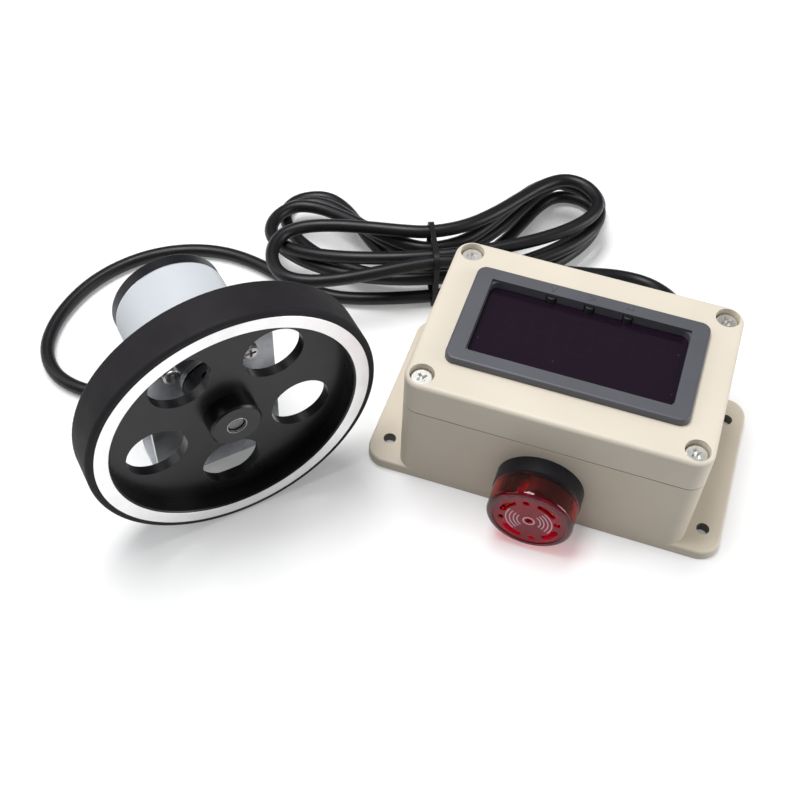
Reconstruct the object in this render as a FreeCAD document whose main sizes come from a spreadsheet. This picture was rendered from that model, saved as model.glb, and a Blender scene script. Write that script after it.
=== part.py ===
import FreeCAD, Part
import math
import os
import Sketcher
from FreeCAD import Placement, Rotation, Vector

# Cable length counter: a measuring wheel on a rotary encoder, a display box with a
# sounder, and the cable between them. Millimetres, +Z up, floor at z = 0, origin on
# the floor under the middle of the display box, +X along the box's long side and
# +Y towards its back wall.

# Driving dimensions
SIZES = {
    # Display box
    "box_length": 100.0,
    "box_width": 68.0,
    "box_height": 50.0,
    "base_height": 36.0,
    "box_wall": 3.0,
    "box_floor": 3.0,
    "box_corner_radius": 6.0,
    "ear_reach": 11.8,
    "ear_thickness": 4.0,
    "ear_corner_radius": 7.0,
    "ear_hole_diameter": 4.3,
    "ear_hole_offset": 5.4,
    "ear_hole_spacing": 48.4,
    "ear_edge_rounding": 0.8,
    "lid_screw_spacing_x": 88.6,
    "lid_screw_spacing_y": 57.2,
    "pillar_diameter": 9.0,
    "lid_thickness": 3.0,
    "lid_edge_rounding": 1.6,
    "seam_bevel": 0.25,
    "lid_lip_depth": 2.0,
    "lid_lip_wall": 1.2,
    "seal_inset": 1.5,
    "seal_width": 1.2,
    "seal_depth": 1.2,
    "sleeve_diameter": 10.0,
    "screw_well_diameter": 8.2,
    "screw_well_depth": 4.2,
    # Lid screws
    "lid_screw_diameter": 3.0,
    "lid_screw_head_diameter": 7.2,
    "lid_screw_head_height": 2.2,
    "lid_screw_length": 26.0,
    "lid_screw_rounding": 0.5,
    "cross_width": 1.0,
    "cross_span": 3.8,
    "cross_depth": 1.3,
    # Display panel
    "bezel_length": 79.6,
    "bezel_width": 43.0,
    "bezel_height": 2.7,
    "bezel_corner_radius": 3.4,
    "bezel_edge_rounding": 0.9,
    "case_length": 75.4,
    "case_width": 40.8,
    "case_depth": 20.0,
    "case_wall": 1.6,
    "window_length": 67.8,
    "window_width": 32.6,
    "window_corner_radius": 3.0,
    "window_thickness": 1.5,
    "window_recess": 3.6,
    "window_rim_depth": 1.1,
    "window_ledge": 1.2,
    "digit_pitch": 12.7,
    "digit_gap": 0.1,
    "digit_height": 19.0,
    "digit_depth": 7.0,
    "segment_width": 1.4,
    "segment_depth": 0.3,
    "segment_margin": 2.2,
    "board_thickness": 1.6,
    "case_back_thickness": 2.0,
    "latch_reach": 1.2,
    "latch_length": 5.0,
    "latch_width": 12.0,
    # Panel buttons and their switches
    "button_diameter": 3.2,
    "button_pitch": 13.0,
    "button_row_y": 16.9,
    "button_row_x": -0.3,
    "button_drop": 1.4,
    "button_travel": 0.5,
    "button_rounding": 0.3,
    "button_clearance": 0.3,
    "plunger_diameter": 2.0,
    "plunger_length": 1.8,
    "switch_side": 3.4,
    "switch_height": 3.4,
    # Sounder on the front wall
    "sounder_height": 16.4,
    "sounder_hole_diameter": 22.2,
    "sounder_collar_diameter": 29.6,
    "sounder_collar_depth": 6.3,
    "sounder_collar_bevel": 0.8,
    "sounder_lens_diameter": 29.0,
    "sounder_lens_depth": 8.9,
    "sounder_lens_wall": 1.8,
    "sounder_lens_rounding": 1.6,
    "sounder_barrel_diameter": 21.8,
    "sounder_barrel_length": 18.0,
    "sounder_barrel_wall": 2.0,
    "sounder_nut_width": 26.0,
    "sounder_nut_thickness": 4.0,
    "sounder_disc_diameter": 20.0,
    "sounder_disc_thickness": 3.0,
    "sounder_face_diameter": 24.4,
    "sounder_face_step": 0.3,
    "sounder_slot_radius": 9.4,
    "sounder_slot_width": 2.1,
    "sounder_slot_half_turn": 17.0,
    "sounder_port_diameter": 2.2,
    "sounder_face_turn": 11.7,
    # Cable entry on the back wall
    "gland_x": 29.0,
    "gland_height": 15.0,
    "gland_thread_diameter": 12.0,
    "gland_hex_width": 17.0,
    "gland_hex_length": 5.0,
    "gland_dome_diameter": 15.0,
    "gland_dome_length": 9.0,
    "gland_nose_diameter": 9.0,
    "gland_nut_thickness": 4.0,
    "gland_socket_depth": 4.0,
    # Control board in the box
    "control_board_length": 62.0,
    "control_board_width": 34.0,
    "control_board_shift": 6.0,
    "control_board_setback": 4.0,
    "standoff_height": 3.0,
    "standoff_diameter": 5.0,
    "standoff_inset": 3.5,
    "terminal_length": 30.0,
    "terminal_width": 8.0,
    "terminal_height": 7.0,
    "terminal_count": 6,
    "terminal_port_width": 3.0,
    "terminal_port_depth": 4.0,
    "terminal_screw_shift": 1.0,
    # Measuring wheel: 300 mm round the tyre
    "wheel_x": -92.03,
    "wheel_y": -65.77,
    "unit_turn": -43.75,
    "wheel_diameter": 95.5,
    "tyre_thickness": 2.3,
    "tyre_width": 13.6,
    "tyre_rounding": 1.3,
    "rim_width": 13.2,
    "rim_wall": 5.0,
    "rim_chamfer": 0.5,
    "web_recess": 6.0,
    "web_thickness": 3.5,
    "web_hole_diameter": 20.0,
    "web_hole_circle": 51.0,
    "web_hole_turn": 51.0,
    "hub_front_diameter": 17.0,
    "hub_back_diameter": 20.0,
    "hub_length": 19.5,
    "hub_chamfer": 0.6,
    "hub_screw_diameter": 4.0,
    "hub_screw_length": 5.0,
    "hub_screw_setback": 14.5,
    "hub_screw_turn": 108.0,
    "hub_screw_key": 2.0,
    "hub_screw_key_depth": 2.5,
    # Encoder
    "shaft_diameter": 6.0,
    "shaft_inset": 1.0,
    "shaft_tail": 47.0,
    "shaft_chamfer": 0.5,
    "shaft_fit": 0.02,
    "encoder_diameter": 38.0,
    "encoder_front": 23.8,
    "encoder_flange_thickness": 6.2,
    "encoder_boss_diameter": 20.0,
    "encoder_boss_reach": 3.5,
    "encoder_spigot_length": 3.0,
    "encoder_can_wall": 1.6,
    "encoder_can_end": 55.0,
    "encoder_cap_end": 59.5,
    "encoder_cap_rounding": 0.8,
    "bearing_diameter": 13.0,
    "bearing_width": 5.0,
    "bearing_ring": 1.2,
    "bearing_gap": 0.3,
    "bearing_lip": 1.0,
    "bearing_spacing": 8.0,
    "disc_diameter": 28.0,
    "disc_thickness": 0.6,
    "disc_setback": 41.0,
    "disc_slot_count": 36,
    "disc_slot_length": 2.4,
    "disc_slot_width": 0.8,
    "disc_hub_diameter": 10.0,
    "disc_hub_length": 3.0,
    "sensor_board_setback": 49.0,
    "sensor_head_width": 7.0,
    "sensor_head_wall": 2.0,
    "sensor_head_gap": 1.0,
    "encoder_cable_setback": 51.0,
    "relief_diameter": 8.4,
    "relief_length": 7.0,
    "relief_tip_diameter": 6.4,
    "relief_neck_diameter": 7.0,
    "relief_socket_depth": 2.5,
    # Cable and its hank of four loops, with the tie round the waist
    "cable_diameter": 5.0,
    "cable_straight": 5.0,
    "hank_x": -65.0,
    "hank_y": 53.5,
    "hank_tip_height": 2.6,
    "hank_waist_height": 4.5,
    "hank_layer_pitch": 6.2,
    "hank_waist_turn": 24.0,
    "hank_near_turn": 26.0,
    "hank_far_turn": 22.0,
    "hank_tip_skew": 4.0,
    "hank_near_outer": 9.3,
    "hank_near_inner": 3.3,
    "hank_far_inner": 3.3,
    "hank_far_outer": 6.2,
    "tie_width": 2.0,
    "tie_thickness": 1.3,
    "tie_clearance": 0.4,
    "tie_corner_radius": 3.2,
    # Bracket
    "bracket_front": 21.3,
    "bracket_thickness": 2.5,
    "bracket_width": 44.0,
    "bracket_height": 70.0,
    "bracket_foot_length": 24.0,
    "bracket_bend_radius": 4.0,
    "bracket_corner_radius": 6.0,
    "bracket_boss_clearance": 0.1,
    "bracket_screw_circle": 30.0,
    "bracket_screw_turn": 26.0,
    "bracket_screw_diameter": 3.0,
    "bracket_screw_head_diameter": 5.8,
    "bracket_screw_head_height": 1.9,
    "bracket_screw_length": 7.0,
    "bracket_screw_rounding": 0.7,
    "foot_hole_diameter": 4.5,
    "foot_hole_spacing": 30.0,
    "foot_hole_setback": 13.0,
    # Fits shared by the pieces
    "fit_gap": 0.05,
    "cut_overrun": 1.0,
}


class Size:
    """A number and the sheet formula that gives it: sums of sizes keep both."""

    def __init__(self, value, formula):
        self.value = float(value)
        self.formula = formula

    def joined(self, sign, other, value):
        text = other.formula if isinstance(other, Size) else repr(float(other))
        return Size(value, f"({self.formula} {sign} {text})")

    def __add__(self, other):
        return self.joined("+", other, self.value + plain(other))

    def __sub__(self, other):
        return self.joined("-", other, self.value - plain(other))

    def __mul__(self, other):
        return self.joined("*", other, self.value * plain(other))

    def __truediv__(self, other):
        return self.joined("/", other, self.value / plain(other))

    def __neg__(self):
        return Size(-self.value, f"(0 - {self.formula})")


def plain(amount):
    """The number in a Size, or the number itself."""
    return amount.value if isinstance(amount, Size) else float(amount)


class SizeSheet:
    """The document's spreadsheet, with each driving dimension as an attribute."""

    def __init__(self, doc, table):
        sheet = doc.addObject("Spreadsheet::Sheet", "Sizes")
        for row, (alias, value) in enumerate(table.items(), start=1):
            sheet.set(f"A{row}", alias)
            sheet.set(f"B{row}", str(value))
            sheet.setAlias(f"B{row}", alias)
            setattr(self, alias, Size(value, f"Sizes.{alias}"))


doc = FreeCAD.newDocument("cable_length_counter")
size = SizeSheet(doc, SIZES)
doc.recompute()

ZERO = Size(0, "0")
# Places closer than this count as one, in millimetres
SAME_PLACE = 1e-3
ORIGIN_VERTEX = (-1, 1)
pieces = []


class Drawing:
    """A sketch on one of a body's origin planes, its points tied to the sheet."""

    def __init__(self, body, plane, name, offset=ZERO):
        self.sketch = body.newObject("Sketcher::SketchObject", name)
        features = body.Origin.OriginFeatures
        self.sketch.AttachmentSupport = [(next(f for f in features if f.Role == plane), "")]
        self.sketch.MapMode = "FlatFace"
        self.sketch.setExpression("AttachmentOffset.Base.z", offset.formula)

    def tie(self, kind, places, amount):
        index = self.sketch.addConstraint(Sketcher.Constraint(kind, *places, plain(amount)))
        if isinstance(amount, Size):
            self.sketch.setExpression(f"Constraints[{index}]", amount.formula)

    def put(self, geometry, vertex, x, y):
        self.tie("DistanceX", (*ORIGIN_VERTEX, geometry, vertex), x)
        self.tie("DistanceY", (*ORIGIN_VERTEX, geometry, vertex), y)

    def circle(self, x, y, diameter):
        centre = Vector(plain(x), plain(y), 0)
        shape = Part.Circle(centre, Vector(0, 0, 1), plain(diameter) / 2)
        index = self.sketch.addGeometry(shape, False)
        self.tie("Diameter", (index,), diameter)
        self.put(index, 3, x, y)
        return self

    def turn_about_x(self, degrees, reach=ZERO):
        """Turns the sketch about the X axis and moves it out along its own normal."""
        tilt = Rotation(Vector(1, 0, 0), degrees)
        self.sketch.setExpression("AttachmentOffset.Base.z", None)
        self.sketch.AttachmentOffset = Placement(tilt.multVec(Vector(0, 0, plain(reach))), tilt)
        return self

    def ring_slot(self, middle_radius, width, start, end):
        """A slot that runs along a circle round the origin, with square ends."""
        runs = []
        for radius in (middle_radius + width / 2, middle_radius - width / 2):
            circle = Part.Circle(Vector(), Vector(0, 0, 1), plain(radius))
            arc = self.sketch.addGeometry(Part.ArcOfCircle(circle, start, end), False)
            self.put(arc, 3, ZERO, ZERO)
            self.tie("Radius", (arc,), radius)
            for vertex, turn in ((1, start), (2, end)):
                self.tie("DistanceY", (*ORIGIN_VERTEX, arc, vertex), radius * math.sin(turn))
            runs.append(arc)
        for vertex in (1, 2):
            ends = [self.sketch.getPoint(arc, vertex) for arc in runs]
            line = self.sketch.addGeometry(Part.LineSegment(*ends), False)
            for place, arc in enumerate(runs, start=1):
                self.sketch.addConstraint(Sketcher.Constraint("Coincident", arc, vertex, line, place))
        return self

    def outline(self, points):
        """A closed run of straight lines through points given as pairs of sizes."""
        corners = [Vector(plain(x), plain(y), 0) for x, y in points]
        ends = corners[1:] + corners[:1]
        lines = [self.sketch.addGeometry(Part.LineSegment(a, b), False) for a, b in zip(corners, ends)]
        for line, following in zip(lines, lines[1:] + lines[:1]):
            self.sketch.addConstraint(Sketcher.Constraint("Coincident", line, 2, following, 1))
        for line, (x, y) in zip(lines, points):
            self.put(line, 1, x, y)
        return self

    def rectangle(self, x, y, length, width):
        """A rectangle with its middle at x, y."""
        left, right = x - length / 2, x + length / 2
        low, high = y - width / 2, y + width / 2
        return self.outline([(left, low), (right, low), (right, high), (left, high)])

    def rounded_rectangle(self, length, width, radius):
        """A rectangle round the origin with a quarter circle at each corner."""
        signs = [(1, -1), (1, 1), (-1, 1), (-1, -1)]
        centres = [((length / 2 - radius) * a, (width / 2 - radius) * b) for a, b in signs]
        arcs = []
        for turn, (x, y) in enumerate(centres):
            start = (turn - 1) * math.pi / 2
            circle = Part.Circle(Vector(plain(x), plain(y), 0), Vector(0, 0, 1), plain(radius))
            arc = Part.ArcOfCircle(circle, start, start + math.pi / 2)
            arcs.append(self.sketch.addGeometry(arc, False))
        points = [self.sketch.getPoint(arc, end) for arc in arcs for end in (1, 2)]
        for turn, arc in enumerate(arcs):
            following = arcs[(turn + 1) % 4]
            line = Part.LineSegment(points[2 * turn + 1], points[(2 * turn + 2) % 8])
            index = self.sketch.addGeometry(line, False)
            self.sketch.addConstraint(Sketcher.Constraint("Tangent", arc, 2, index, 1))
            self.sketch.addConstraint(Sketcher.Constraint("Tangent", index, 2, following, 1))
        for arc, (x, y) in zip(arcs, centres):
            self.put(arc, 3, x, y)
        for arc in arcs[1:]:
            self.sketch.addConstraint(Sketcher.Constraint("Equal", arcs[0], arc))
        self.tie("Radius", (arcs[0],), radius)
        return self

    def cross(self, x, y, span, width, degrees=0):
        """A plus sign with its middle at x, y, turned about it."""
        long, short = span / 2, width / 2
        reach = [(long, -short), (long, short), (short, short), (short, long), (-short, long),
                 (-short, short), (-long, short), (-long, -short), (-short, -short),
                 (-short, -long), (short, -long), (short, -short)]
        turn = math.radians(degrees)
        along, aside = math.cos(turn), math.sin(turn)
        return self.outline([(x + a * along - b * aside, y + a * aside + b * along) for a, b in reach])

    def hexagon(self, x, y, across_flats):
        """A regular hexagon with its middle at x, y and a corner on the first axis."""
        corner = across_flats / 2 / math.cos(math.pi / 6)
        turns = [turn * math.pi / 3 for turn in range(6)]
        return self.outline([(x + corner * math.cos(t), y + corner * math.sin(t)) for t in turns])


def new_body(name, place=Placement()):
    body = doc.addObject("PartDesign::Body", name)
    body.Label = name
    body.Placement = place
    pieces.append(body)
    return body


def grow(body, drawing, length, name, both_ways=False, backwards=False):
    """Adds material from a sketch, along the sketch's normal."""
    feature = body.newObject("PartDesign::Pad", name)
    feature.Profile = drawing.sketch
    feature.setExpression("Length", length.formula)
    feature.Midplane = both_ways
    feature.Reversed = backwards
    doc.recompute()
    return feature


def cut(body, drawing, depth, name, both_ways=False, backwards=False):
    """Cuts from a sketch, against the sketch's normal, and makes sure that it cuts."""
    before = body.Shape.Volume
    feature = body.newObject("PartDesign::Pocket", name)
    feature.Profile = drawing.sketch
    feature.setExpression("Length", depth.formula)
    feature.Midplane = both_ways
    feature.Reversed = backwards
    doc.recompute()
    if not body.Shape.Volume < before:
        raise RuntimeError(f"{body.Label}: {name} cuts nothing")
    return feature


def spin(body, drawing, name):
    """Revolves a sketch about its horizontal axis."""
    feature = body.newObject("PartDesign::Revolution", name)
    feature.Profile = drawing.sketch
    feature.ReferenceAxis = (drawing.sketch, ["H_Axis"])
    feature.Angle = 360
    doc.recompute()
    return feature


def repeat_round(body, feature, axis, count, name):
    """Copies a feature evenly round one of the body's origin axes."""
    before = body.Shape.Volume
    pattern = body.newObject("PartDesign::PolarPattern", name)
    pattern.Originals = [feature]
    features = body.Origin.OriginFeatures
    pattern.Axis = (next(f for f in features if f.Role == axis), [""])
    pattern.Angle = 360
    pattern.Occurrences = int(count)
    body.Tip = pattern
    doc.recompute()
    if abs(body.Shape.Volume - before) < SAME_PLACE:
        raise RuntimeError(f"{body.Label}: {name} repeats nothing")
    return pattern


def soften(body, radius, name, chosen, kind="Fillet"):
    """Rounds or bevels the edges of the body's last feature that chosen picks."""
    last = body.Tip
    edges = [f"Edge{i}" for i, edge in enumerate(last.Shape.Edges, start=1) if chosen(edge)]
    feature = body.newObject(f"PartDesign::{kind}", name)
    feature.Base = (last, edges)
    feature.setExpression("Radius" if kind == "Fillet" else "Size", radius.formula)
    doc.recompute()
    return feature


def on_level(axis, level, within=SAME_PLACE):
    """Picks the edges that lie wholly in one plane square to an axis."""
    def chosen(edge):
        box = edge.BoundBox
        low, high = getattr(box, f"{axis}Min"), getattr(box, f"{axis}Max")
        return abs(low - plain(level)) < within and abs(high - plain(level)) < within
    return chosen


def round_edge(axis_level, diameter, within=SAME_PLACE):
    """Picks whole circles of one diameter round X, at one X."""
    def chosen(edge):
        curve = edge.Curve
        if not isinstance(curve, Part.Circle):
            return False
        same_size = abs(curve.Radius - plain(diameter) / 2) < within
        return same_size and abs(curve.Center.x - plain(axis_level)) < within
    return chosen


def corners(spacing_x, spacing_y):
    """The four corners of a rectangle round the origin."""
    return [(spacing_x / 2 * a, spacing_y / 2 * b) for a in (-1, 1) for b in (-1, 1)]


def lid_screw_places():
    return corners(size.lid_screw_spacing_x, size.lid_screw_spacing_y)


# Display box

seam = size.base_height
lid_top = size.box_height
inner_length = size.box_length - size.box_wall * 2
inner_width = size.box_width - size.box_wall * 2
inner_radius = size.box_corner_radius - size.box_wall
front_wall = size.box_width / 2
pillar_hole = size.lid_screw_diameter + size.fit_gap * 2


def seal_ring(drawing, clearance):
    """The two outlines of the seal, or of its groove when there is a clearance."""
    for side in (-1, 1):
        inset = size.seal_inset - (size.seal_width / 2 + clearance) * side
        drawing.rounded_rectangle(size.box_length - inset * 2, size.box_width - inset * 2,
                                  size.box_corner_radius - inset)
    return drawing


def standoff_places():
    places = corners(size.control_board_length - size.standoff_inset * 2,
                     size.control_board_width - size.standoff_inset * 2)
    return [(x - size.control_board_shift, y + size.control_board_setback) for x, y in places]


def enclosure_base():
    body = new_body("enclosure_base")
    plate = Drawing(body, "XY_Plane", "ear_plate_outline")
    plate.rounded_rectangle(size.box_length + size.ear_reach * 2, size.box_width, size.ear_corner_radius)
    grow(body, plate, size.ear_thickness, "ear_plate")
    soften(body, size.ear_edge_rounding, "ear_rounding", on_level("Z", size.ear_thickness))
    shell = Drawing(body, "XY_Plane", "shell_outline")
    shell.rounded_rectangle(size.box_length, size.box_width, size.box_corner_radius)
    grow(body, shell, seam, "shell")
    soften(body, size.seam_bevel, "seam_bevel", on_level("Z", seam), "Chamfer")
    room = Drawing(body, "XY_Plane", "room_outline", seam)
    room.rounded_rectangle(inner_length, inner_width, inner_radius)
    cut(body, room, seam - size.box_floor, "room")
    pillars = Drawing(body, "XY_Plane", "pillar_outline", size.box_floor)
    pilots = Drawing(body, "XY_Plane", "pilot_outline", seam)
    for x, y in lid_screw_places():
        pillars.circle(x, y, size.pillar_diameter)
        pilots.circle(x, y, pillar_hole)
    grow(body, pillars, seam - size.box_floor, "screw_pillars")
    cut(body, pilots, size.lid_screw_length, "screw_pilots")
    groove = seal_ring(Drawing(body, "XY_Plane", "seal_groove_outline", seam), ZERO)
    cut(body, groove, size.seal_depth, "seal_groove")
    posts = Drawing(body, "XY_Plane", "standoff_outline", size.box_floor)
    for x, y in standoff_places():
        posts.circle(x, y, size.standoff_diameter)
    grow(body, posts, size.standoff_height, "standoffs")
    ear_holes = Drawing(body, "XY_Plane", "ear_hole_outline", size.ear_thickness)
    for x, y in corners(size.box_length + size.ear_hole_offset * 2, size.ear_hole_spacing):
        ear_holes.circle(x, y, size.ear_hole_diameter)
    cut(body, ear_holes, size.ear_thickness, "ear_holes")
    sounder = Drawing(body, "XZ_Plane", "sounder_hole_outline", front_wall)
    sounder.circle(ZERO, size.sounder_height, size.sounder_hole_diameter)
    cut(body, sounder, size.box_wall, "sounder_hole")
    gland = Drawing(body, "XZ_Plane", "gland_hole_outline", size.box_wall - front_wall)
    gland.circle(size.gland_x, size.gland_height, size.gland_thread_diameter + size.fit_gap * 2)
    cut(body, gland, size.box_wall, "gland_hole")


def lid_gasket():
    body = new_body("lid_gasket")
    ring = seal_ring(Drawing(body, "XY_Plane", "seal_outline", seam - size.seal_depth), ZERO)
    grow(body, ring, size.seal_depth, "seal")


def enclosure_lid():
    body = new_body("enclosure_lid")
    lid_height = lid_top - seam
    shell = Drawing(body, "XY_Plane", "lid_outline", seam)
    shell.rounded_rectangle(size.box_length, size.box_width, size.box_corner_radius)
    grow(body, shell, lid_height, "lid")
    soften(body, size.lid_edge_rounding, "lid_rounding", on_level("Z", lid_top))
    soften(body, size.seam_bevel, "lid_seam_bevel", on_level("Z", seam), "Chamfer")
    lip_outer = (inner_length - size.fit_gap * 2, inner_width - size.fit_gap * 2,
                 inner_radius - size.fit_gap)
    lip_inner = (lip_outer[0] - size.lid_lip_wall * 2, lip_outer[1] - size.lid_lip_wall * 2,
                 lip_outer[2] - size.lid_lip_wall)
    room = Drawing(body, "XY_Plane", "lid_room_outline", seam)
    room.rounded_rectangle(*lip_inner)
    cut(body, room, lid_height - size.lid_thickness, "lid_room", backwards=True)
    lip = Drawing(body, "XY_Plane", "lip_outline", seam)
    lip.rounded_rectangle(*lip_outer)
    lip.rounded_rectangle(*lip_inner)
    grow(body, lip, size.lid_lip_depth, "lip", backwards=True)
    gaps = Drawing(body, "XY_Plane", "lip_gap_outline", seam)
    sleeves = Drawing(body, "XY_Plane", "sleeve_outline", seam)
    holes = Drawing(body, "XY_Plane", "lid_hole_outline", lid_top)
    wells = Drawing(body, "XY_Plane", "well_outline", lid_top)
    for x, y in lid_screw_places():
        gaps.circle(x, y, size.pillar_diameter + size.button_clearance * 2)
        sleeves.circle(x, y, size.sleeve_diameter)
        holes.circle(x, y, pillar_hole)
        wells.circle(x, y, size.screw_well_diameter)
    cut(body, gaps, size.lid_lip_depth, "lip_gaps")
    grow(body, sleeves, lid_height - size.lid_thickness, "screw_sleeves")
    cut(body, holes, lid_height, "lid_holes")
    cut(body, wells, size.screw_well_depth, "screw_wells")
    opening = Drawing(body, "XY_Plane", "panel_opening_outline", lid_top)
    opening.rectangle(ZERO, ZERO, size.case_length + size.fit_gap * 2, size.case_width + size.fit_gap * 2)
    cut(body, opening, size.lid_thickness, "panel_opening")


# How the driver left the cross of each lid screw, in degrees
LID_SCREW_TURNS = (45.0, 8.0, 40.0, 34.0)


def lid_screws():
    body = new_body("lid_screws")
    seat = lid_top - size.screw_well_depth
    heads = Drawing(body, "XY_Plane", "head_outline", seat)
    shanks = Drawing(body, "XY_Plane", "shank_outline", seat)
    slots = Drawing(body, "XY_Plane", "cross_outline", seat + size.lid_screw_head_height)
    for (x, y), turn in zip(lid_screw_places(), LID_SCREW_TURNS):
        heads.circle(x, y, size.lid_screw_head_diameter)
        shanks.circle(x, y, size.lid_screw_diameter)
        slots.cross(x, y, size.cross_span, size.cross_width, turn)
    grow(body, heads, size.lid_screw_head_height, "heads")
    soften(body, size.lid_screw_rounding, "head_rounding", on_level("Z", seat + size.lid_screw_head_height))
    grow(body, shanks, size.lid_screw_length, "shanks", backwards=True)
    cut(body, slots, size.cross_depth, "cross_slots")


# Display panel

bezel_top = lid_top + size.bezel_height
window_rim = bezel_top - size.window_rim_depth
window_top = bezel_top - size.window_recess
window_seat = window_top - size.window_thickness
board_top = window_seat - size.digit_depth
case_back = lid_top - size.case_depth
back_room_length = size.case_length - size.case_wall * 2
back_room_width = size.case_width - size.case_wall * 2
button_bore = size.button_diameter + size.button_clearance * 2


def button_places():
    return [(size.button_row_x + size.button_pitch * step, size.button_row_y) for step in (-1, 0, 1)]


def panel_case():
    body = new_body("panel_case")
    flange = Drawing(body, "XY_Plane", "bezel_outline", lid_top)
    flange.rounded_rectangle(size.bezel_length, size.bezel_width, size.bezel_corner_radius)
    grow(body, flange, size.bezel_height, "bezel")
    soften(body, size.bezel_edge_rounding, "bezel_rounding", on_level("Z", bezel_top))
    case = Drawing(body, "XY_Plane", "case_outline", lid_top)
    case.rectangle(ZERO, ZERO, size.case_length, size.case_width)
    grow(body, case, size.case_depth, "case", backwards=True)
    rim = Drawing(body, "XY_Plane", "window_rim_outline", bezel_top)
    rim.rectangle(ZERO, ZERO, size.window_length, size.window_width)
    cut(body, rim, size.window_rim_depth, "window_rim")
    recess = Drawing(body, "XY_Plane", "window_recess_outline", window_rim)
    recess.rounded_rectangle(size.window_length, size.window_width, size.window_corner_radius)
    cut(body, recess, window_rim - window_seat, "window_recess")
    room = Drawing(body, "XY_Plane", "digit_room_outline", window_seat)
    room.rectangle(ZERO, ZERO, size.window_length - size.window_ledge * 2,
                   size.window_width - size.window_ledge * 2)
    cut(body, room, window_seat - case_back, "digit_room")
    back = Drawing(body, "XY_Plane", "board_room_outline", case_back)
    back.rectangle(ZERO, ZERO, back_room_length, back_room_width)
    cut(body, back, board_top - case_back, "board_room", backwards=True)
    bores = Drawing(body, "XY_Plane", "button_bore_outline", window_rim)
    pits = Drawing(body, "XY_Plane", "switch_pit_outline", board_top)
    for x, y in button_places():
        bores.circle(x, y, button_bore)
        pits.rectangle(x, y, size.switch_side + size.button_clearance * 2,
                       size.switch_side + size.button_clearance)
    cut(body, bores, window_rim - board_top, "button_bores")
    cut(body, pits, size.switch_height + size.button_clearance, "switch_pits", backwards=True)
    latch = Drawing(body, "XZ_Plane", "latch_outline")
    latch_top = lid_top - size.lid_thickness - size.fit_gap
    for side in (-1, 1):
        wall = size.case_length / 2 * side
        tip = wall + size.latch_reach * side
        latch.outline([(wall, latch_top), (tip, latch_top), (wall, latch_top - size.latch_length)])
    grow(body, latch, size.latch_width, "latches", both_ways=True)


def display_window():
    body = new_body("display_window")
    sheet = Drawing(body, "XY_Plane", "window_outline", window_seat)
    sheet.rounded_rectangle(size.window_length - size.fit_gap * 2, size.window_width - size.fit_gap * 2,
                            size.window_corner_radius - size.fit_gap)
    grow(body, sheet, size.window_thickness, "window")
    notches = Drawing(body, "XY_Plane", "notch_outline", window_top)
    for x, y in button_places():
        notches.circle(x, y, button_bore)
    cut(body, notches, size.window_thickness, "button_notches")


def digit_blocks():
    body = new_body("digit_blocks")
    blocks = Drawing(body, "XY_Plane", "block_outline", board_top)
    bars = Drawing(body, "XY_Plane", "segment_outline", window_seat)
    bar_length = size.digit_pitch - size.digit_gap - size.segment_margin * 2
    column = bar_length / 2
    half = size.digit_height / 2 - size.segment_margin
    gap = size.segment_width
    for step in (-2, -1, 0, 1, 2):
        x = size.digit_pitch * step
        blocks.rectangle(x, ZERO, size.digit_pitch - size.digit_gap, size.digit_height)
        for y in (-half, ZERO, half):
            bars.rectangle(x, y, bar_length - gap * 2, size.segment_width)
        for side in (-1, 1):
            for level in (-1, 1):
                bars.rectangle(x + column * side, half / 2 * level, size.segment_width, half - gap * 2)
    grow(body, blocks, size.digit_depth - size.fit_gap, "blocks")
    cut(body, bars, size.segment_depth + size.fit_gap, "segments")


def display_board():
    body = new_body("display_board")
    board = Drawing(body, "XY_Plane", "board_outline", board_top - size.board_thickness)
    board.rectangle(ZERO, ZERO, back_room_length - size.fit_gap * 2, back_room_width - size.fit_gap * 2)
    grow(body, board, size.board_thickness, "board")


def button_switches():
    body = new_body("button_switches")
    cans = Drawing(body, "XY_Plane", "switch_outline", board_top)
    wells = Drawing(body, "XY_Plane", "plunger_bore_outline", board_top + size.switch_height)
    for x, y in button_places():
        cans.rectangle(x, y, size.switch_side, size.switch_side)
        wells.circle(x, y, size.plunger_diameter + size.button_clearance * 2)
    grow(body, cans, size.switch_height, "switches")
    cut(body, wells, size.plunger_length + size.button_travel, "plunger_bores")


def panel_buttons():
    cap_top = bezel_top - size.button_drop
    cap_foot = board_top + size.switch_height + size.button_travel + size.button_clearance
    names = ("down_button", "shift_button", "reset_button")
    for name, (x, y) in zip(names, button_places()):
        body = new_body(name)
        cap = Drawing(body, "XY_Plane", f"{name}_outline", cap_foot)
        cap.circle(x, y, size.button_diameter)
        grow(body, cap, cap_top - cap_foot, f"{name}_cap")
        soften(body, size.button_rounding, f"{name}_rounding", on_level("Z", cap_top))
        plunger = Drawing(body, "XY_Plane", f"{name}_plunger_outline", cap_foot)
        plunger.circle(x, y, size.plunger_diameter)
        grow(body, plunger, size.plunger_length + size.button_clearance, f"{name}_plunger", backwards=True)


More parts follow.
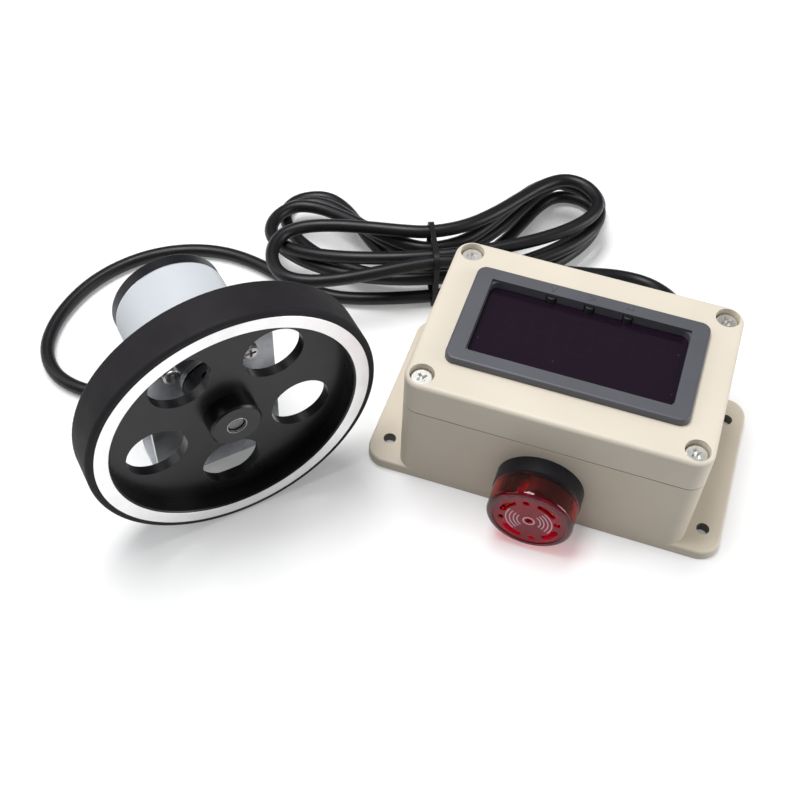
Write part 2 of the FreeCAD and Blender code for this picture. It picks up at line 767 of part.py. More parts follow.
def panel_back():
    body = new_body("panel_back")
    plate = Drawing(body, "XY_Plane", "back_outline", case_back)
    plate.rectangle(ZERO, ZERO, back_room_length - size.fit_gap * 2, back_room_width - size.fit_gap * 2)
    grow(body, plate, size.case_back_thickness, "back")
    rim = Drawing(body, "XY_Plane", "back_rim_outline", case_back + size.case_back_thickness)
    rim_length = back_room_length - size.fit_gap * 2
    rim_width = back_room_width - size.fit_gap * 2
    for inset in (ZERO, size.case_wall):
        rim.rectangle(ZERO, ZERO, rim_length - inset * 2, rim_width - inset * 2)
    rim_height = board_top - size.board_thickness - case_back - size.case_back_thickness
    grow(body, rim, rim_height, "back_rim")
    port = Drawing(body, "XY_Plane", "wire_port_outline", case_back + size.case_back_thickness)
    port.rectangle(ZERO, ZERO, size.terminal_length, size.terminal_width)
    cut(body, port, size.case_back_thickness, "wire_port")


# Control board

control_level = size.box_floor + size.standoff_height
terminal_level = control_level + size.board_thickness


def control_board():
    body = new_body("control_board")
    board = Drawing(body, "XY_Plane", "control_outline", control_level)
    board.rectangle(-size.control_board_shift, size.control_board_setback,
                    size.control_board_length, size.control_board_width)
    grow(body, board, size.board_thickness, "control")


def terminal_block():
    body = new_body("terminal_block")
    board_back = size.control_board_setback + size.control_board_width / 2
    middle_y = board_back - size.terminal_width / 2 - size.board_thickness
    middle_x = -size.control_board_shift
    block = Drawing(body, "XY_Plane", "terminal_outline", terminal_level)
    block.rectangle(middle_x, middle_y, size.terminal_length, size.terminal_width)
    grow(body, block, size.terminal_height, "terminal")
    back_face = middle_y + size.terminal_width / 2
    ports = Drawing(body, "XZ_Plane", "port_outline", -back_face)
    heads = Drawing(body, "XY_Plane", "terminal_screw_outline", terminal_level + size.terminal_height)
    count = int(SIZES["terminal_count"])
    pitch = size.terminal_length / count
    for step in range(count):
        x = middle_x + pitch * (step - (count - 1) / 2)
        level = terminal_level + size.terminal_port_width
        ports.rectangle(x, level, size.terminal_port_width, size.terminal_port_width)
        heads.circle(x, middle_y - size.terminal_screw_shift, size.terminal_port_width)
    cut(body, ports, size.terminal_port_depth, "wire_ports", backwards=True)
    cut(body, heads, size.board_thickness, "terminal_screws")


# Sounder: axis along Y, sketched in the body's XZ plane and turned to face the front

def facing_front(height):
    """Local +X points out of the front wall, local z = 0 on the axis."""
    return Placement(Vector(0, -front_wall.value, height.value), Rotation(Vector(0, 0, 1), -90))


def ring_outline(drawing, back, front, inner, outer):
    """Half the section of a plain ring between two places on the axis, by diameters."""
    return drawing.outline([(back, inner / 2), (front, inner / 2), (front, outer / 2), (back, outer / 2)])


def lens_openings(lens, lens_front):
    """Round ports and curved slots with round ends, in turn round the lens's face."""
    ports = Drawing(lens, "YZ_Plane", "lens_port_outline", lens_front)
    slots = Drawing(lens, "YZ_Plane", "lens_slot_outline", lens_front)
    ends = Drawing(lens, "YZ_Plane", "lens_slot_end_outline", lens_front)
    reach = size.sounder_slot_radius
    first = size.sounder_face_turn.value
    half_turn = size.sounder_slot_half_turn.value
    ports.circle(ZERO, ZERO, size.sounder_port_diameter)
    for quarter in range(4):
        port = math.radians(first + 90 * quarter)
        ports.circle(reach * math.cos(port), reach * math.sin(port), size.sounder_port_diameter)
        middle = first + 90 * quarter + 45
        turns = [math.radians(middle + half_turn * side) for side in (-1, 1)]
        slots.ring_slot(reach, size.sounder_slot_width, *turns)
        for turn in turns:
            ends.circle(reach * math.cos(turn), reach * math.sin(turn), size.sounder_slot_width)
    cut(lens, ports, size.sounder_lens_wall, "lens_ports")
    cut(lens, slots, size.sounder_lens_wall, "lens_slots")
    cut(lens, ends, size.sounder_lens_wall, "lens_slot_ends")


def sounder_pieces():
    place = facing_front(size.sounder_height)
    barrel_bore = size.sounder_barrel_diameter - size.sounder_barrel_wall * 2
    collar = size.sounder_collar_depth
    base = new_body("sounder_body", place)
    section = Drawing(base, "XZ_Plane", "sounder_section")
    section.outline([
        (-size.sounder_barrel_length, barrel_bore / 2),
        (collar - size.sounder_barrel_wall, barrel_bore / 2),
        (collar - size.sounder_barrel_wall, ZERO),
        (collar, ZERO),
        (collar, size.sounder_collar_diameter / 2),
        (ZERO, size.sounder_collar_diameter / 2),
        (ZERO, size.sounder_barrel_diameter / 2),
        (-size.sounder_barrel_length, size.sounder_barrel_diameter / 2),
    ])
    spin(base, section, "sounder_shell")
    collar_rim = round_edge(collar, size.sounder_collar_diameter)
    soften(base, size.sounder_collar_bevel, "collar_bevel", collar_rim, "Chamfer")
    lens_front = collar + size.sounder_lens_depth
    lens_bore = size.sounder_lens_diameter - size.sounder_lens_wall * 2
    lens = new_body("sounder_lens", place)
    section = Drawing(lens, "XZ_Plane", "lens_section")
    section.outline([
        (collar, lens_bore / 2),
        (lens_front - size.sounder_lens_wall, lens_bore / 2),
        (lens_front - size.sounder_lens_wall, ZERO),
        (lens_front - size.sounder_face_step, ZERO),
        (lens_front - size.sounder_face_step, size.sounder_face_diameter / 2),
        (lens_front, size.sounder_face_diameter / 2),
        (lens_front, size.sounder_lens_diameter / 2),
        (collar, size.sounder_lens_diameter / 2),
    ])
    spin(lens, section, "lens_cup")
    lens_rim = round_edge(lens_front, size.sounder_lens_diameter)
    soften(lens, size.sounder_lens_rounding, "lens_rounding", lens_rim)
    lens_openings(lens, lens_front)
    disc = new_body("sounder_disc", place)
    section = Drawing(disc, "XZ_Plane", "disc_section")
    ring_outline(section, collar, collar + size.sounder_disc_thickness, ZERO, size.sounder_disc_diameter)
    spin(disc, section, "sounder_plate")
    nut = new_body("sounder_nut", place)
    section = Drawing(nut, "YZ_Plane", "nut_outline", -size.box_wall)
    section.hexagon(ZERO, ZERO, size.sounder_nut_width)
    section.circle(ZERO, ZERO, size.sounder_barrel_diameter + size.fit_gap * 2)
    grow(nut, section, size.sounder_nut_thickness, "nut", backwards=True)


# Cable gland: local +X points out of the back wall

gland_place = Placement(Vector(size.gland_x.value, front_wall.value, size.gland_height.value),
                        Rotation(Vector(0, 0, 1), 90))
gland_mouth = size.gland_hex_length + size.gland_dome_length


def gland_pieces():
    cable_hole = size.cable_diameter + size.fit_gap * 2
    body = new_body("cable_gland", gland_place)
    hexagon = Drawing(body, "YZ_Plane", "gland_hex_outline")
    hexagon.hexagon(ZERO, ZERO, size.gland_hex_width)
    grow(body, hexagon, size.gland_hex_length, "gland_hex")
    thread = Drawing(body, "YZ_Plane", "gland_thread_outline")
    thread.circle(ZERO, ZERO, size.gland_thread_diameter)
    thread_length = size.box_wall + size.gland_nut_thickness + size.cut_overrun
    grow(body, thread, thread_length, "gland_thread", backwards=True)
    bore = Drawing(body, "YZ_Plane", "gland_bore_outline", size.gland_hex_length)
    bore.circle(ZERO, ZERO, cable_hole)
    cut(body, bore, size.gland_hex_length + thread_length, "gland_bore")
    dome = new_body("gland_dome", gland_place)
    start = size.gland_hex_length
    shoulder = start + size.gland_dome_length / 2
    socket = gland_mouth - size.gland_socket_depth
    section = Drawing(dome, "XZ_Plane", "dome_section")
    section.outline([(start, ZERO), (socket, ZERO), (socket, cable_hole / 2), (gland_mouth, cable_hole / 2),
                     (gland_mouth, size.gland_nose_diameter / 2), (shoulder, size.gland_dome_diameter / 2),
                     (start, size.gland_dome_diameter / 2)])
    spin(dome, section, "dome")
    nut = new_body("gland_nut", gland_place)
    outline = Drawing(nut, "YZ_Plane", "gland_nut_outline", -size.box_wall)
    outline.hexagon(ZERO, ZERO, size.gland_hex_width)
    outline.circle(ZERO, ZERO, size.gland_thread_diameter + size.fit_gap * 2)
    grow(nut, outline, size.gland_nut_thickness, "gland_ring", backwards=True)


# Measuring wheel and encoder: local +X points out of the wheel's front face along the
# shaft, local x = 0 on the front of the rim, and places further back are negative

axle_height = size.wheel_diameter / 2
unit_place = Placement(Vector(size.wheel_x.value, size.wheel_y.value, axle_height.value),
                       Rotation(Vector(0, 0, 1), size.unit_turn.value))
foot_place = Placement(Vector(size.wheel_x.value, size.wheel_y.value, 0),
                       Rotation(Vector(0, 0, 1), size.unit_turn.value))
rim_diameter = size.wheel_diameter - size.tyre_thickness * 2
rim_bore = rim_diameter - size.rim_wall * 2
web_front = -size.web_recess
web_back = web_front - size.web_thickness
shaft_bore = size.shaft_diameter + size.shaft_fit * 2


def around(circle_diameter, degrees):
    """A place on a circle round the axis, as local y and z."""
    turn = math.radians(plain(degrees))
    return circle_diameter / 2 * math.cos(turn), circle_diameter / 2 * math.sin(turn)


def wheel_disc():
    body = new_body("wheel_disc", unit_place)
    section = Drawing(body, "XZ_Plane", "wheel_section")
    section.outline([
        (ZERO, shaft_bore / 2),
        (ZERO, size.hub_front_diameter / 2),
        (web_front, size.hub_front_diameter / 2),
        (web_front, rim_bore / 2),
        (ZERO, rim_bore / 2),
        (ZERO, rim_diameter / 2),
        (-size.rim_width, rim_diameter / 2),
        (-size.rim_width, rim_bore / 2),
        (web_back, rim_bore / 2),
        (web_back, size.hub_back_diameter / 2),
        (-size.hub_length, size.hub_back_diameter / 2),
        (-size.hub_length, shaft_bore / 2),
    ])
    spin(body, section, "casting")
    soften(body, size.hub_chamfer, "hub_bevel", round_edge(ZERO, size.hub_front_diameter), "Chamfer")
    soften(body, size.rim_chamfer, "rim_bevel", round_edge(ZERO, rim_bore), "Chamfer")
    hole = Drawing(body, "YZ_Plane", "web_hole_outline", web_front)
    y, z = around(size.web_hole_circle, size.web_hole_turn)
    hole.circle(y, z, size.web_hole_diameter)
    holes = cut(body, hole, size.web_thickness, "web_hole")
    repeat_round(body, holes, "X_Axis", 5, "web_holes")
    for name, turn in hub_screw_turns():
        drill = Drawing(body, "XY_Plane", f"{name}_drill_outline").turn_about_x(turn)
        drill.circle(-size.hub_screw_setback, ZERO, size.hub_screw_diameter + size.fit_gap * 2)
        cut(body, drill, size.hub_back_diameter, f"{name}_drill", backwards=True)


def hub_screw_turns():
    """The two set screws, a quarter turn apart."""
    return [("first", size.hub_screw_turn.value - 90), ("second", size.hub_screw_turn.value)]


def tyre():
    body = new_body("tyre", unit_place)
    section = Drawing(body, "XZ_Plane", "tyre_section")
    ring_outline(section, -size.tyre_width, ZERO, rim_diameter, size.wheel_diameter)
    spin(body, section, "tyre_ring")

    def outer_edges(edge):
        front = round_edge(ZERO, size.wheel_diameter)
        return front(edge) or round_edge(-size.tyre_width, size.wheel_diameter)(edge)
    soften(body, size.tyre_rounding, "tyre_rounding", outer_edges)


def hub_screws():
    body = new_body("hub_screws", unit_place)
    foot = size.shaft_diameter / 2
    for name, turn in hub_screw_turns():
        screw = Drawing(body, "XY_Plane", f"{name}_screw_outline").turn_about_x(turn, foot)
        screw.circle(-size.hub_screw_setback, ZERO, size.hub_screw_diameter)
        grow(body, screw, size.hub_screw_length, f"{name}_screw")
    for name, turn in hub_screw_turns():
        head = foot + size.hub_screw_length
        key = Drawing(body, "XY_Plane", f"{name}_key_outline").turn_about_x(turn, head)
        key.hexagon(-size.hub_screw_setback, ZERO, size.hub_screw_key)
        cut(body, key, size.hub_screw_key_depth, f"{name}_key")


def encoder_shaft():
    body = new_body("encoder_shaft", unit_place)
    section = Drawing(body, "XZ_Plane", "shaft_section")
    ring_outline(section, -size.shaft_tail, -size.shaft_inset, ZERO, size.shaft_diameter)
    spin(body, section, "shaft")
    tip = round_edge(-size.shaft_inset, size.shaft_diameter)
    soften(body, size.shaft_chamfer, "shaft_bevel", tip, "Chamfer")


boss_front = -size.encoder_front + size.encoder_boss_reach
flange_back = -size.encoder_front - size.encoder_flange_thickness
spigot_back = flange_back - size.encoder_spigot_length
first_seat = boss_front - size.bearing_lip
second_seat = first_seat - size.bearing_spacing
can_bore = size.encoder_diameter - size.encoder_can_wall * 2
race_outer = size.bearing_diameter - size.bearing_ring * 2 - size.bearing_gap * 2
shaft_clearance = size.shaft_diameter + size.bearing_lip


def encoder_flange():
    body = new_body("encoder_flange", unit_place)
    section = Drawing(body, "XZ_Plane", "flange_section")
    land = size.bearing_diameter - size.bearing_ring * 2
    bearing_hole = size.bearing_diameter
    first_end = first_seat - size.bearing_width
    section.outline([
        (boss_front, shaft_clearance / 2),
        (boss_front, size.encoder_boss_diameter / 2),
        (-size.encoder_front, size.encoder_boss_diameter / 2),
        (-size.encoder_front, size.encoder_diameter / 2),
        (flange_back, size.encoder_diameter / 2),
        (flange_back, can_bore / 2),
        (spigot_back, can_bore / 2),
        (spigot_back, bearing_hole / 2),
        (second_seat, bearing_hole / 2),
        (second_seat, land / 2),
        (first_end, land / 2),
        (first_end, bearing_hole / 2),
        (first_seat, bearing_hole / 2),
        (first_seat, shaft_clearance / 2),
    ])
    spin(body, section, "flange")
    pilots = Drawing(body, "YZ_Plane", "flange_pilot_outline", -size.encoder_front)
    for y, z in bracket_screw_places():
        pilots.circle(y, z, size.bracket_screw_diameter + size.fit_gap * 2)
    cut(body, pilots, size.bracket_screw_length - size.bracket_thickness + size.fit_gap, "flange_pilots")


def bearings():
    for name, seat in (("front_bearing", first_seat), ("rear_bearing", second_seat)):
        outer = new_body(name, unit_place)
        section = Drawing(outer, "XZ_Plane", f"{name}_section")
        ring_outline(section, seat - size.bearing_width, seat,
                     size.bearing_diameter - size.bearing_ring * 2, size.bearing_diameter)
        spin(outer, section, f"{name}_ring")
        inner = new_body(f"{name}_race", unit_place)
        section = Drawing(inner, "XZ_Plane", f"{name}_race_section")
        ring_outline(section, seat - size.bearing_width, seat, size.shaft_diameter, race_outer)
        spin(inner, section, f"{name}_race_ring")


def encoder_housing():
    body = new_body("encoder_housing", unit_place)
    section = Drawing(body, "XZ_Plane", "can_section")
    ring_outline(section, -size.encoder_can_end, flange_back, can_bore, size.encoder_diameter)
    spin(body, section, "can")
    hole = Drawing(body, "XY_Plane", "relief_hole_outline")
    hole.circle(-size.encoder_cable_setback, ZERO, size.relief_neck_diameter + size.fit_gap * 2)
    cut(body, hole, size.encoder_diameter, "relief_hole")


def encoder_cap():
    body = new_body("encoder_cap", unit_place)
    section = Drawing(body, "XZ_Plane", "cap_section")
    floor_face = size.encoder_cap_end - size.encoder_can_wall
    plug = can_bore - size.fit_gap * 2
    section.outline([
        (-size.encoder_cap_end, ZERO),
        (-floor_face, ZERO),
        (-floor_face, plug / 2 - size.encoder_can_wall),
        (-size.encoder_can_end + size.encoder_can_wall, plug / 2 - size.encoder_can_wall),
        (-size.encoder_can_end + size.encoder_can_wall, plug / 2),
        (-size.encoder_can_end, plug / 2),
        (-size.encoder_can_end, size.encoder_diameter / 2),
        (-size.encoder_cap_end, size.encoder_diameter / 2),
    ])
    spin(body, section, "cap")
    rim = round_edge(-size.encoder_cap_end, size.encoder_diameter)
    soften(body, size.encoder_cap_rounding, "cap_rounding", rim)


def code_disc():
    body = new_body("code_disc", unit_place)
    section = Drawing(body, "XZ_Plane", "code_disc_section")
    front = -size.disc_setback
    section.outline([
        (front, shaft_bore / 2),
        (front, size.disc_hub_diameter / 2),
        (front - size.disc_hub_length, size.disc_hub_diameter / 2),
        (front - size.disc_hub_length, size.disc_diameter / 2),
        (front - size.disc_hub_length - size.disc_thickness, size.disc_diameter / 2),
        (front - size.disc_hub_length - size.disc_thickness, shaft_bore / 2),
    ])
    spin(body, section, "disc_and_hub")
    slot = Drawing(body, "YZ_Plane", "code_slot_outline", front - size.disc_hub_length)
    middle = size.disc_diameter / 2 - size.disc_slot_length
    slot.rectangle(middle, ZERO, size.disc_slot_length, size.disc_slot_width)
    first = cut(body, slot, size.disc_thickness, "code_slot")
    repeat_round(body, first, "X_Axis", SIZES["disc_slot_count"], "code_slots")


def sensor_board():
    body = new_body("sensor_board", unit_place)
    section = Drawing(body, "XZ_Plane", "sensor_board_section")
    front = -size.sensor_board_setback
    ring_outline(section, front - size.board_thickness, front, ZERO, can_bore - size.fit_gap * 2)
    spin(body, section, "sensor_card")


def sensor_head():
    """A forked light gate that stands on the board, with the disc's edge in its gap."""
    body = new_body("sensor_head", unit_place)
    profile = Drawing(body, "XZ_Plane", "fork_outline")
    disc_front = -size.disc_setback - size.disc_hub_length
    disc_back = disc_front - size.disc_thickness
    low = size.disc_diameter / 2 - size.disc_slot_length * 2
    high = can_bore / 2 - size.fit_gap * 2 - size.sensor_head_gap
    root = size.disc_diameter / 2 + size.sensor_head_gap
    foot = -size.sensor_board_setback
    profile.outline([
        (foot, low),
        (disc_back - size.sensor_head_gap, low),
        (disc_back - size.sensor_head_gap, root),
        (disc_front + size.sensor_head_gap, root),
        (disc_front + size.sensor_head_gap, low),
        (disc_front + size.sensor_head_gap + size.sensor_head_wall, low),
        (disc_front + size.sensor_head_gap + size.sensor_head_wall, high),
        (foot, high),
    ])
    grow(body, profile, size.sensor_head_width, "fork", both_ways=True)


relief_place = unit_place.multiply(
    Placement(Vector(-size.encoder_cable_setback.value, 0, 0), Rotation(Vector(0, 1, 0), 90)))
relief_mouth = size.encoder_diameter / 2 + size.relief_length


def encoder_relief():
    """The sleeve that the cable leaves the encoder through, at its underside."""
    body = new_body("encoder_relief", relief_place)
    outside = size.encoder_diameter / 2
    sleeve = Drawing(body, "XZ_Plane", "relief_section")
    inside = can_bore / 2 + size.fit_gap
    cable = size.cable_diameter / 2 + size.fit_gap
    socket = relief_mouth - size.relief_socket_depth
    sleeve.outline([
        (inside, ZERO),
        (socket, ZERO),
        (socket, cable),
        (relief_mouth, cable),
        (relief_mouth, size.relief_tip_diameter / 2),
        (outside + size.fit_gap, size.relief_diameter / 2),
        (outside + size.fit_gap, size.relief_neck_diameter / 2),
        (inside, size.relief_neck_diameter / 2),
    ])
    spin(body, sleeve, "relief")


# Bracket

def bracket_screw_places():
    turns = [size.bracket_screw_turn.value + 360 * step / 3 for step in range(3)]
    return [around(size.bracket_screw_circle, turn) for turn in turns]


def encoder_bracket():
    body = new_body("encoder_bracket", foot_place)
    front = -size.bracket_front
    back = front - size.bracket_thickness
    end = front - size.bracket_foot_length
    profile = Drawing(body, "XZ_Plane", "bracket_outline")
    profile.outline([
        (front, size.bracket_height), (front, ZERO), (end, ZERO), (end, size.bracket_thickness),
        (back, size.bracket_thickness), (back, size.bracket_height),
    ])
    grow(body, profile, size.bracket_width, "angle_plate", both_ways=True)

    def edge_at(x, z):
        def chosen(edge):
            box = edge.BoundBox
            wide = abs(box.YLength - size.bracket_width.value) < SAME_PLACE
            return wide and abs(box.XMin - x.value) < SAME_PLACE and abs(box.ZMin - z.value) < SAME_PLACE
        return chosen
    soften(body, size.bracket_bend_radius, "outer_bend", edge_at(front, ZERO))
    inner_bend = size.bracket_bend_radius - size.bracket_thickness
    soften(body, inner_bend, "inner_bend", edge_at(back, size.bracket_thickness))

    def plate_corner(edge):
        box = edge.BoundBox
        across = abs(box.XLength - size.bracket_thickness.value) < SAME_PLACE
        top = across and abs(box.ZMin - size.bracket_height.value) < SAME_PLACE
        upright = abs(box.ZLength - size.bracket_thickness.value) < SAME_PLACE and box.XLength < SAME_PLACE
        return top or (upright and abs(box.XMin - end.value) < SAME_PLACE)
    soften(body, size.bracket_corner_radius, "plate_corners", plate_corner)
    holes = Drawing(body, "YZ_Plane", "bracket_hole_outline", front)
    holes.circle(ZERO, axle_height, size.encoder_boss_diameter + size.bracket_boss_clearance * 2)
    for y, z in bracket_screw_places():
        holes.circle(y, z + axle_height, size.bracket_screw_diameter + size.fit_gap * 2)
    cut(body, holes, size.bracket_thickness, "bracket_holes")
    feet = Drawing(body, "XY_Plane", "foot_hole_outline", size.bracket_thickness)
    for side in (-1, 1):
        y = size.foot_hole_spacing / 2 * side
        feet.circle(front - size.foot_hole_setback, y, size.foot_hole_diameter)
    cut(body, feet, size.bracket_thickness, "foot_holes")


def bracket_screws():
    body = new_body("bracket_screws", unit_place)
    face = -size.bracket_front
    heads = Drawing(body, "YZ_Plane", "bracket_head_outline", face)
    shanks = Drawing(body, "YZ_Plane", "bracket_shank_outline", face)
    slots = Drawing(body, "YZ_Plane", "bracket_cross_outline", face + size.bracket_screw_head_height)
    for y, z in bracket_screw_places():
        heads.circle(y, z, size.bracket_screw_head_diameter)
        shanks.circle(y, z, size.bracket_screw_diameter)
        slots.cross(y, z, size.cross_span, size.cross_width)
    grow(body, heads, size.bracket_screw_head_height, "bracket_heads")
    soften(body, size.bracket_screw_rounding, "bracket_head_rounding",
           on_level("X", face + size.bracket_screw_head_height))
    grow(body, shanks, size.bracket_screw_length, "bracket_shanks", backwards=True)
    cut(body, slots, size.cross_depth, "bracket_cross_slots")


# Cable: one round cord from the encoder to the box, its spare length in a tied hank

ENCODER_ROUTE = [
    (-128.87, -30.5, 24.25), (-128.87, -30.5, 16.2), (-131.2, -31.3, 8.5), (-137.6, -33.3, 3.8),
    (-146.9, -36.1, 2.6), (-157.0, -38.8, 2.6), (-168.0, -40.4, 2.6), (-179.4, -37.3, 2.6),
    (-187.8, -28.5, 2.6), (-191.0, -16.6, 2.6), (-190.6, -4.0, 2.6), (-187.4, 8.6, 2.6),
    (-181.0, 20.2, 2.6), (-171.6, 30.2, 2.6), (-159.8, 37.2, 2.6), (-146.5, 40.6, 2.6),
    (-132.5, 39.6, 2.6), (-118.5, 35.4, 2.6), (-104.0, 33.0, 2.6),
]
BOX_ROUTE = [
    (-34.0, 57.5, 17.5), (-21.4, 64.6, 13.4), (-9.2, 71.1, 9.8), (2.6, 77.2, 7.2),
    (14.2, 78.4, 6.6), (23.7, 73.1, 8.6), (28.9, 64.1, 12.2), (29.0, 54.2, 15.0),
    (29.0, 44.0, 15.0),
]
# Ways that the cable runs where the hank starts and ends
HANK_START_WAY = (1.0, 0.02, 0.0)
HANK_END_WAY = (0.86, 0.47, -0.25)
# For each loop from the lowest: right tip's turn and reach, left tip's turn and reach
HANK_TIPS = [
    (56.0, 84.0, 165.0, 71.0), (55.0, 78.0, 177.0, 69.5),
    (51.0, 72.0, 186.0, 65.0), (47.0, 67.0, 204.5, 62.0),
]
# How far the second arc of each quarter turn reaches, as a share of the first
QUARTER_SHARES = {"near_right": 0.4, "right_far": 1.25, "far_left": 0.8, "left_near": 1.25}
# A bend's radius in shares of its shorter run
BEND_SHARE = 0.45
LEAST_CABLE_GAP = 0.4
# How far a tube's volume may be from its section times its length, as a share
VOLUME_SLACK = 1e-3


def heading(degrees):
    turn = math.radians(plain(degrees))
    return Vector(math.cos(turn), math.sin(turn), 0)


def arc_along(start, way, end):
    """The arc from start to end that leaves start along the way."""
    chord = end - start
    across = way - chord * (way.dot(chord) / chord.dot(chord))
    if across.Length < SAME_PLACE:
        return Part.LineSegment(start, end)
    half_turn = way.getAngle(chord)
    rise = across.normalize() * (chord.Length / 2 * math.tan(half_turn / 2))
    return Part.Arc(start, start + chord / 2 + rise, end)


def quarter_turn(start, way, end, end_way, share):
    """Two tangent arcs that join two places on the cable."""
    gap = end - start
    both = way + end_way * share
    square = 2 * share * (1 - way.dot(end_way))
    double = 2 * gap.dot(both)
    reach = (math.sqrt(double ** 2 + 4 * square * gap.dot(gap)) - double) / (2 * square)
    first = start + way * reach
    second = end - end_way * (reach * share)
    joint = first + (second - first) / (1 + share)
    return [arc_along(start, way, joint), arc_along(joint, (second - first).normalize(), end)]


def hank_knots():
    """Places along the loops: near side of the waist, right tip, far side, left tip."""
    middle = Vector(size.hank_x.value, size.hank_y.value, 0)
    outward = heading(size.hank_waist_turn + 90)
    near_way = heading(size.hank_near_turn)
    far_way = -heading(size.hank_far_turn)
    waist = size.hank_waist_height.value
    low_tip = size.hank_tip_height.value
    pitch = size.hank_layer_pitch.value
    near_sides = [size.hank_near_outer.value, size.hank_near_inner.value]
    far_sides = [size.hank_far_inner.value, size.hank_far_outer.value]
    last = len(HANK_TIPS)
    knots = []
    for loop in range(last + 1):
        layer = min(max(loop - 0.5, 0), last - 1) if loop < last else last - 1
        near = middle - outward * near_sides[loop % 2] + Vector(0, 0, waist + pitch * layer)
        knots.append((near, near_way, "near_right"))
        if loop == last:
            break
        right_turn, right_reach, left_turn, left_reach = HANK_TIPS[loop]
        level = Vector(0, 0, low_tip + pitch * loop)
        right = middle + heading(right_turn) * right_reach + level
        knots.append((right, heading(right_turn + 90 + size.hank_tip_skew.value), "right_far"))
        far = middle + outward * far_sides[loop % 2] + Vector(0, 0, waist + pitch * loop)
        knots.append((far, far_way, "far_left"))
        left = middle + heading(left_turn) * left_reach + level
        knots.append((left, heading(left_turn + 90), "left_near"))
    return knots


def hank_path():
    """The hank's centre line: a straight start, the loops' arcs and a straight end."""
    start, start_way = Vector(*ENCODER_ROUTE[-1]), Vector(*HANK_START_WAY).normalize()
    end, end_way = Vector(*BOX_ROUTE[0]), Vector(*HANK_END_WAY).normalize()
    straight = size.cable_straight.value
    places = [(start + start_way * straight, start_way, "left_near")]
    places += hank_knots()
    places.append((end - end_way * straight, end_way, None))
    curves = [Part.LineSegment(start, places[0][0])]
    for (here, way, name), (there, next_way, _) in zip(places, places[1:]):
        curves += quarter_turn(here, way, there, next_way, QUARTER_SHARES[name])
    curves.append(Part.LineSegment(places[-1][0], end))
    return curves


def bent_path(points):
    """Straight runs with a tangent arc at each corner."""
    curves = []
    here = points[0]
    for before, corner, after in zip(points, points[1:], points[2:]):
        back, ahead = before - corner, after - corner
        setback = min(back.Length, ahead.Length) * BEND_SHARE
        start = corner + back.normalize() * setback
        end = corner + ahead.normalize() * setback
        curves.append(Part.LineSegment(here, start))
        curves.append(arc_along(start, (corner - start).normalize(), end))
        here = end
    curves.append(Part.LineSegment(here, points[-1]))
    return curves


def carried(route, start, end):
    """The route with its two ends carried to where the sizes put them."""
    points = [Vector(*point) for point in route]
    first_move, last_move = start - points[0], end - points[-1]
    spans = len(points) - 3
    moved = []
    for place, point in enumerate(points):
        share = min(max((place - 1) / spans, 0), 1)
        moved.append(point + first_move * (1 - share) + last_move * share)
    return moved


def cable_tube(name, curves):
    """Sweeps the cable's round section along its centre line."""
    path = Part.Wire([curve.toShape() for curve in curves])
    start = curves[0].StartPoint
    way = curves[0].EndPoint - start
    section = Part.Wire(Part.makeCircle(size.cable_diameter.value / 2, start, way))
    tube = path.makePipeShell([section], True)
    expected = path.Length * math.pi * size.cable_diameter.value ** 2 / 4
    if abs(tube.Volume / expected - 1) > VOLUME_SLACK:
        raise RuntimeError(f"{name}: volume {tube.Volume:.1f}, section times length {expected:.1f}")
    piece = doc.addObject("Part::Feature", name)
    piece.Label = name
    piece.Shape = tube
    piece.Placement = Placement()
    pieces.append(piece)
    bends = [edge.Curve.Radius for edge in path.Edges if isinstance(edge.Curve, Part.Circle)]
    print(name, "length", round(path.Length, 1), "tightest bend", round(min(bends), 1))
    return path


def least_gap(path, step=1.0, apart=4.0):
    """The least gap between two parts of one tube, measured on points of its centre line."""
    points = path.discretize(Distance=step)
    skip = int(apart * size.cable_diameter.value / step)
    rows = [(point.x, point.y, point.z) for point in points]
    least = min(math.dist(rows[i], rows[k]) for i in range(len(rows)) for k in range(i + skip, len(rows)))
    return least - size.cable_diameter.value


def cables():
    mouth = relief_place.multVec(Vector(relief_mouth.value - size.relief_socket_depth.value, 0, 0))
    socket = gland_place.multVec(Vector(gland_mouth.value - size.gland_socket_depth.value, 0, 0))
    hank_start, hank_end = Vector(*ENCODER_ROUTE[-1]), Vector(*BOX_ROUTE[0])
    cable_tube("encoder_cable", bent_path(carried(ENCODER_ROUTE, mouth, hank_start)))
    hank = cable_tube("cable_hank", hank_path())
    cable_tube("box_cable", bent_path(carried(BOX_ROUTE, hank_end, socket)))
    gap = least_gap(hank)
    print("cable_hank least gap", round(gap, 2))
    if gap < LEAST_CABLE_GAP:
        raise RuntimeError("cable_hank: its loops touch")


def hank_tie():
    """The strap round the hank's waist, its sides just clear of the strands."""
    spare = size.cable_diameter / 2 + size.tie_clearance
    near, far = -size.hank_near_outer - spare, size.hank_far_outer + spare
    low = size.hank_waist_height - spare
    high = size.hank_waist_height + size.hank_layer_pitch * (len(HANK_TIPS) - 1) + spare
    turn = Rotation(Vector(0, 0, 1), size.hank_waist_turn.value)
    side = heading(size.hank_waist_turn + 90) * ((near + far) / 2).value
    middle = Vector(size.hank_x.value, size.hank_y.value, ((low + high) / 2).value) + side
    body = new_body("hank_tie", Placement(middle, turn))
    ring = Drawing(body, "YZ_Plane", "tie_outline")
    for outward in (ZERO, size.tie_thickness):
        ring.rounded_rectangle(far - near + outward * 2, high - low + outward * 2,
                               size.tie_corner_radius + outward)
    grow(body, ring, size.tie_width, "tie_strap", both_ways=True)


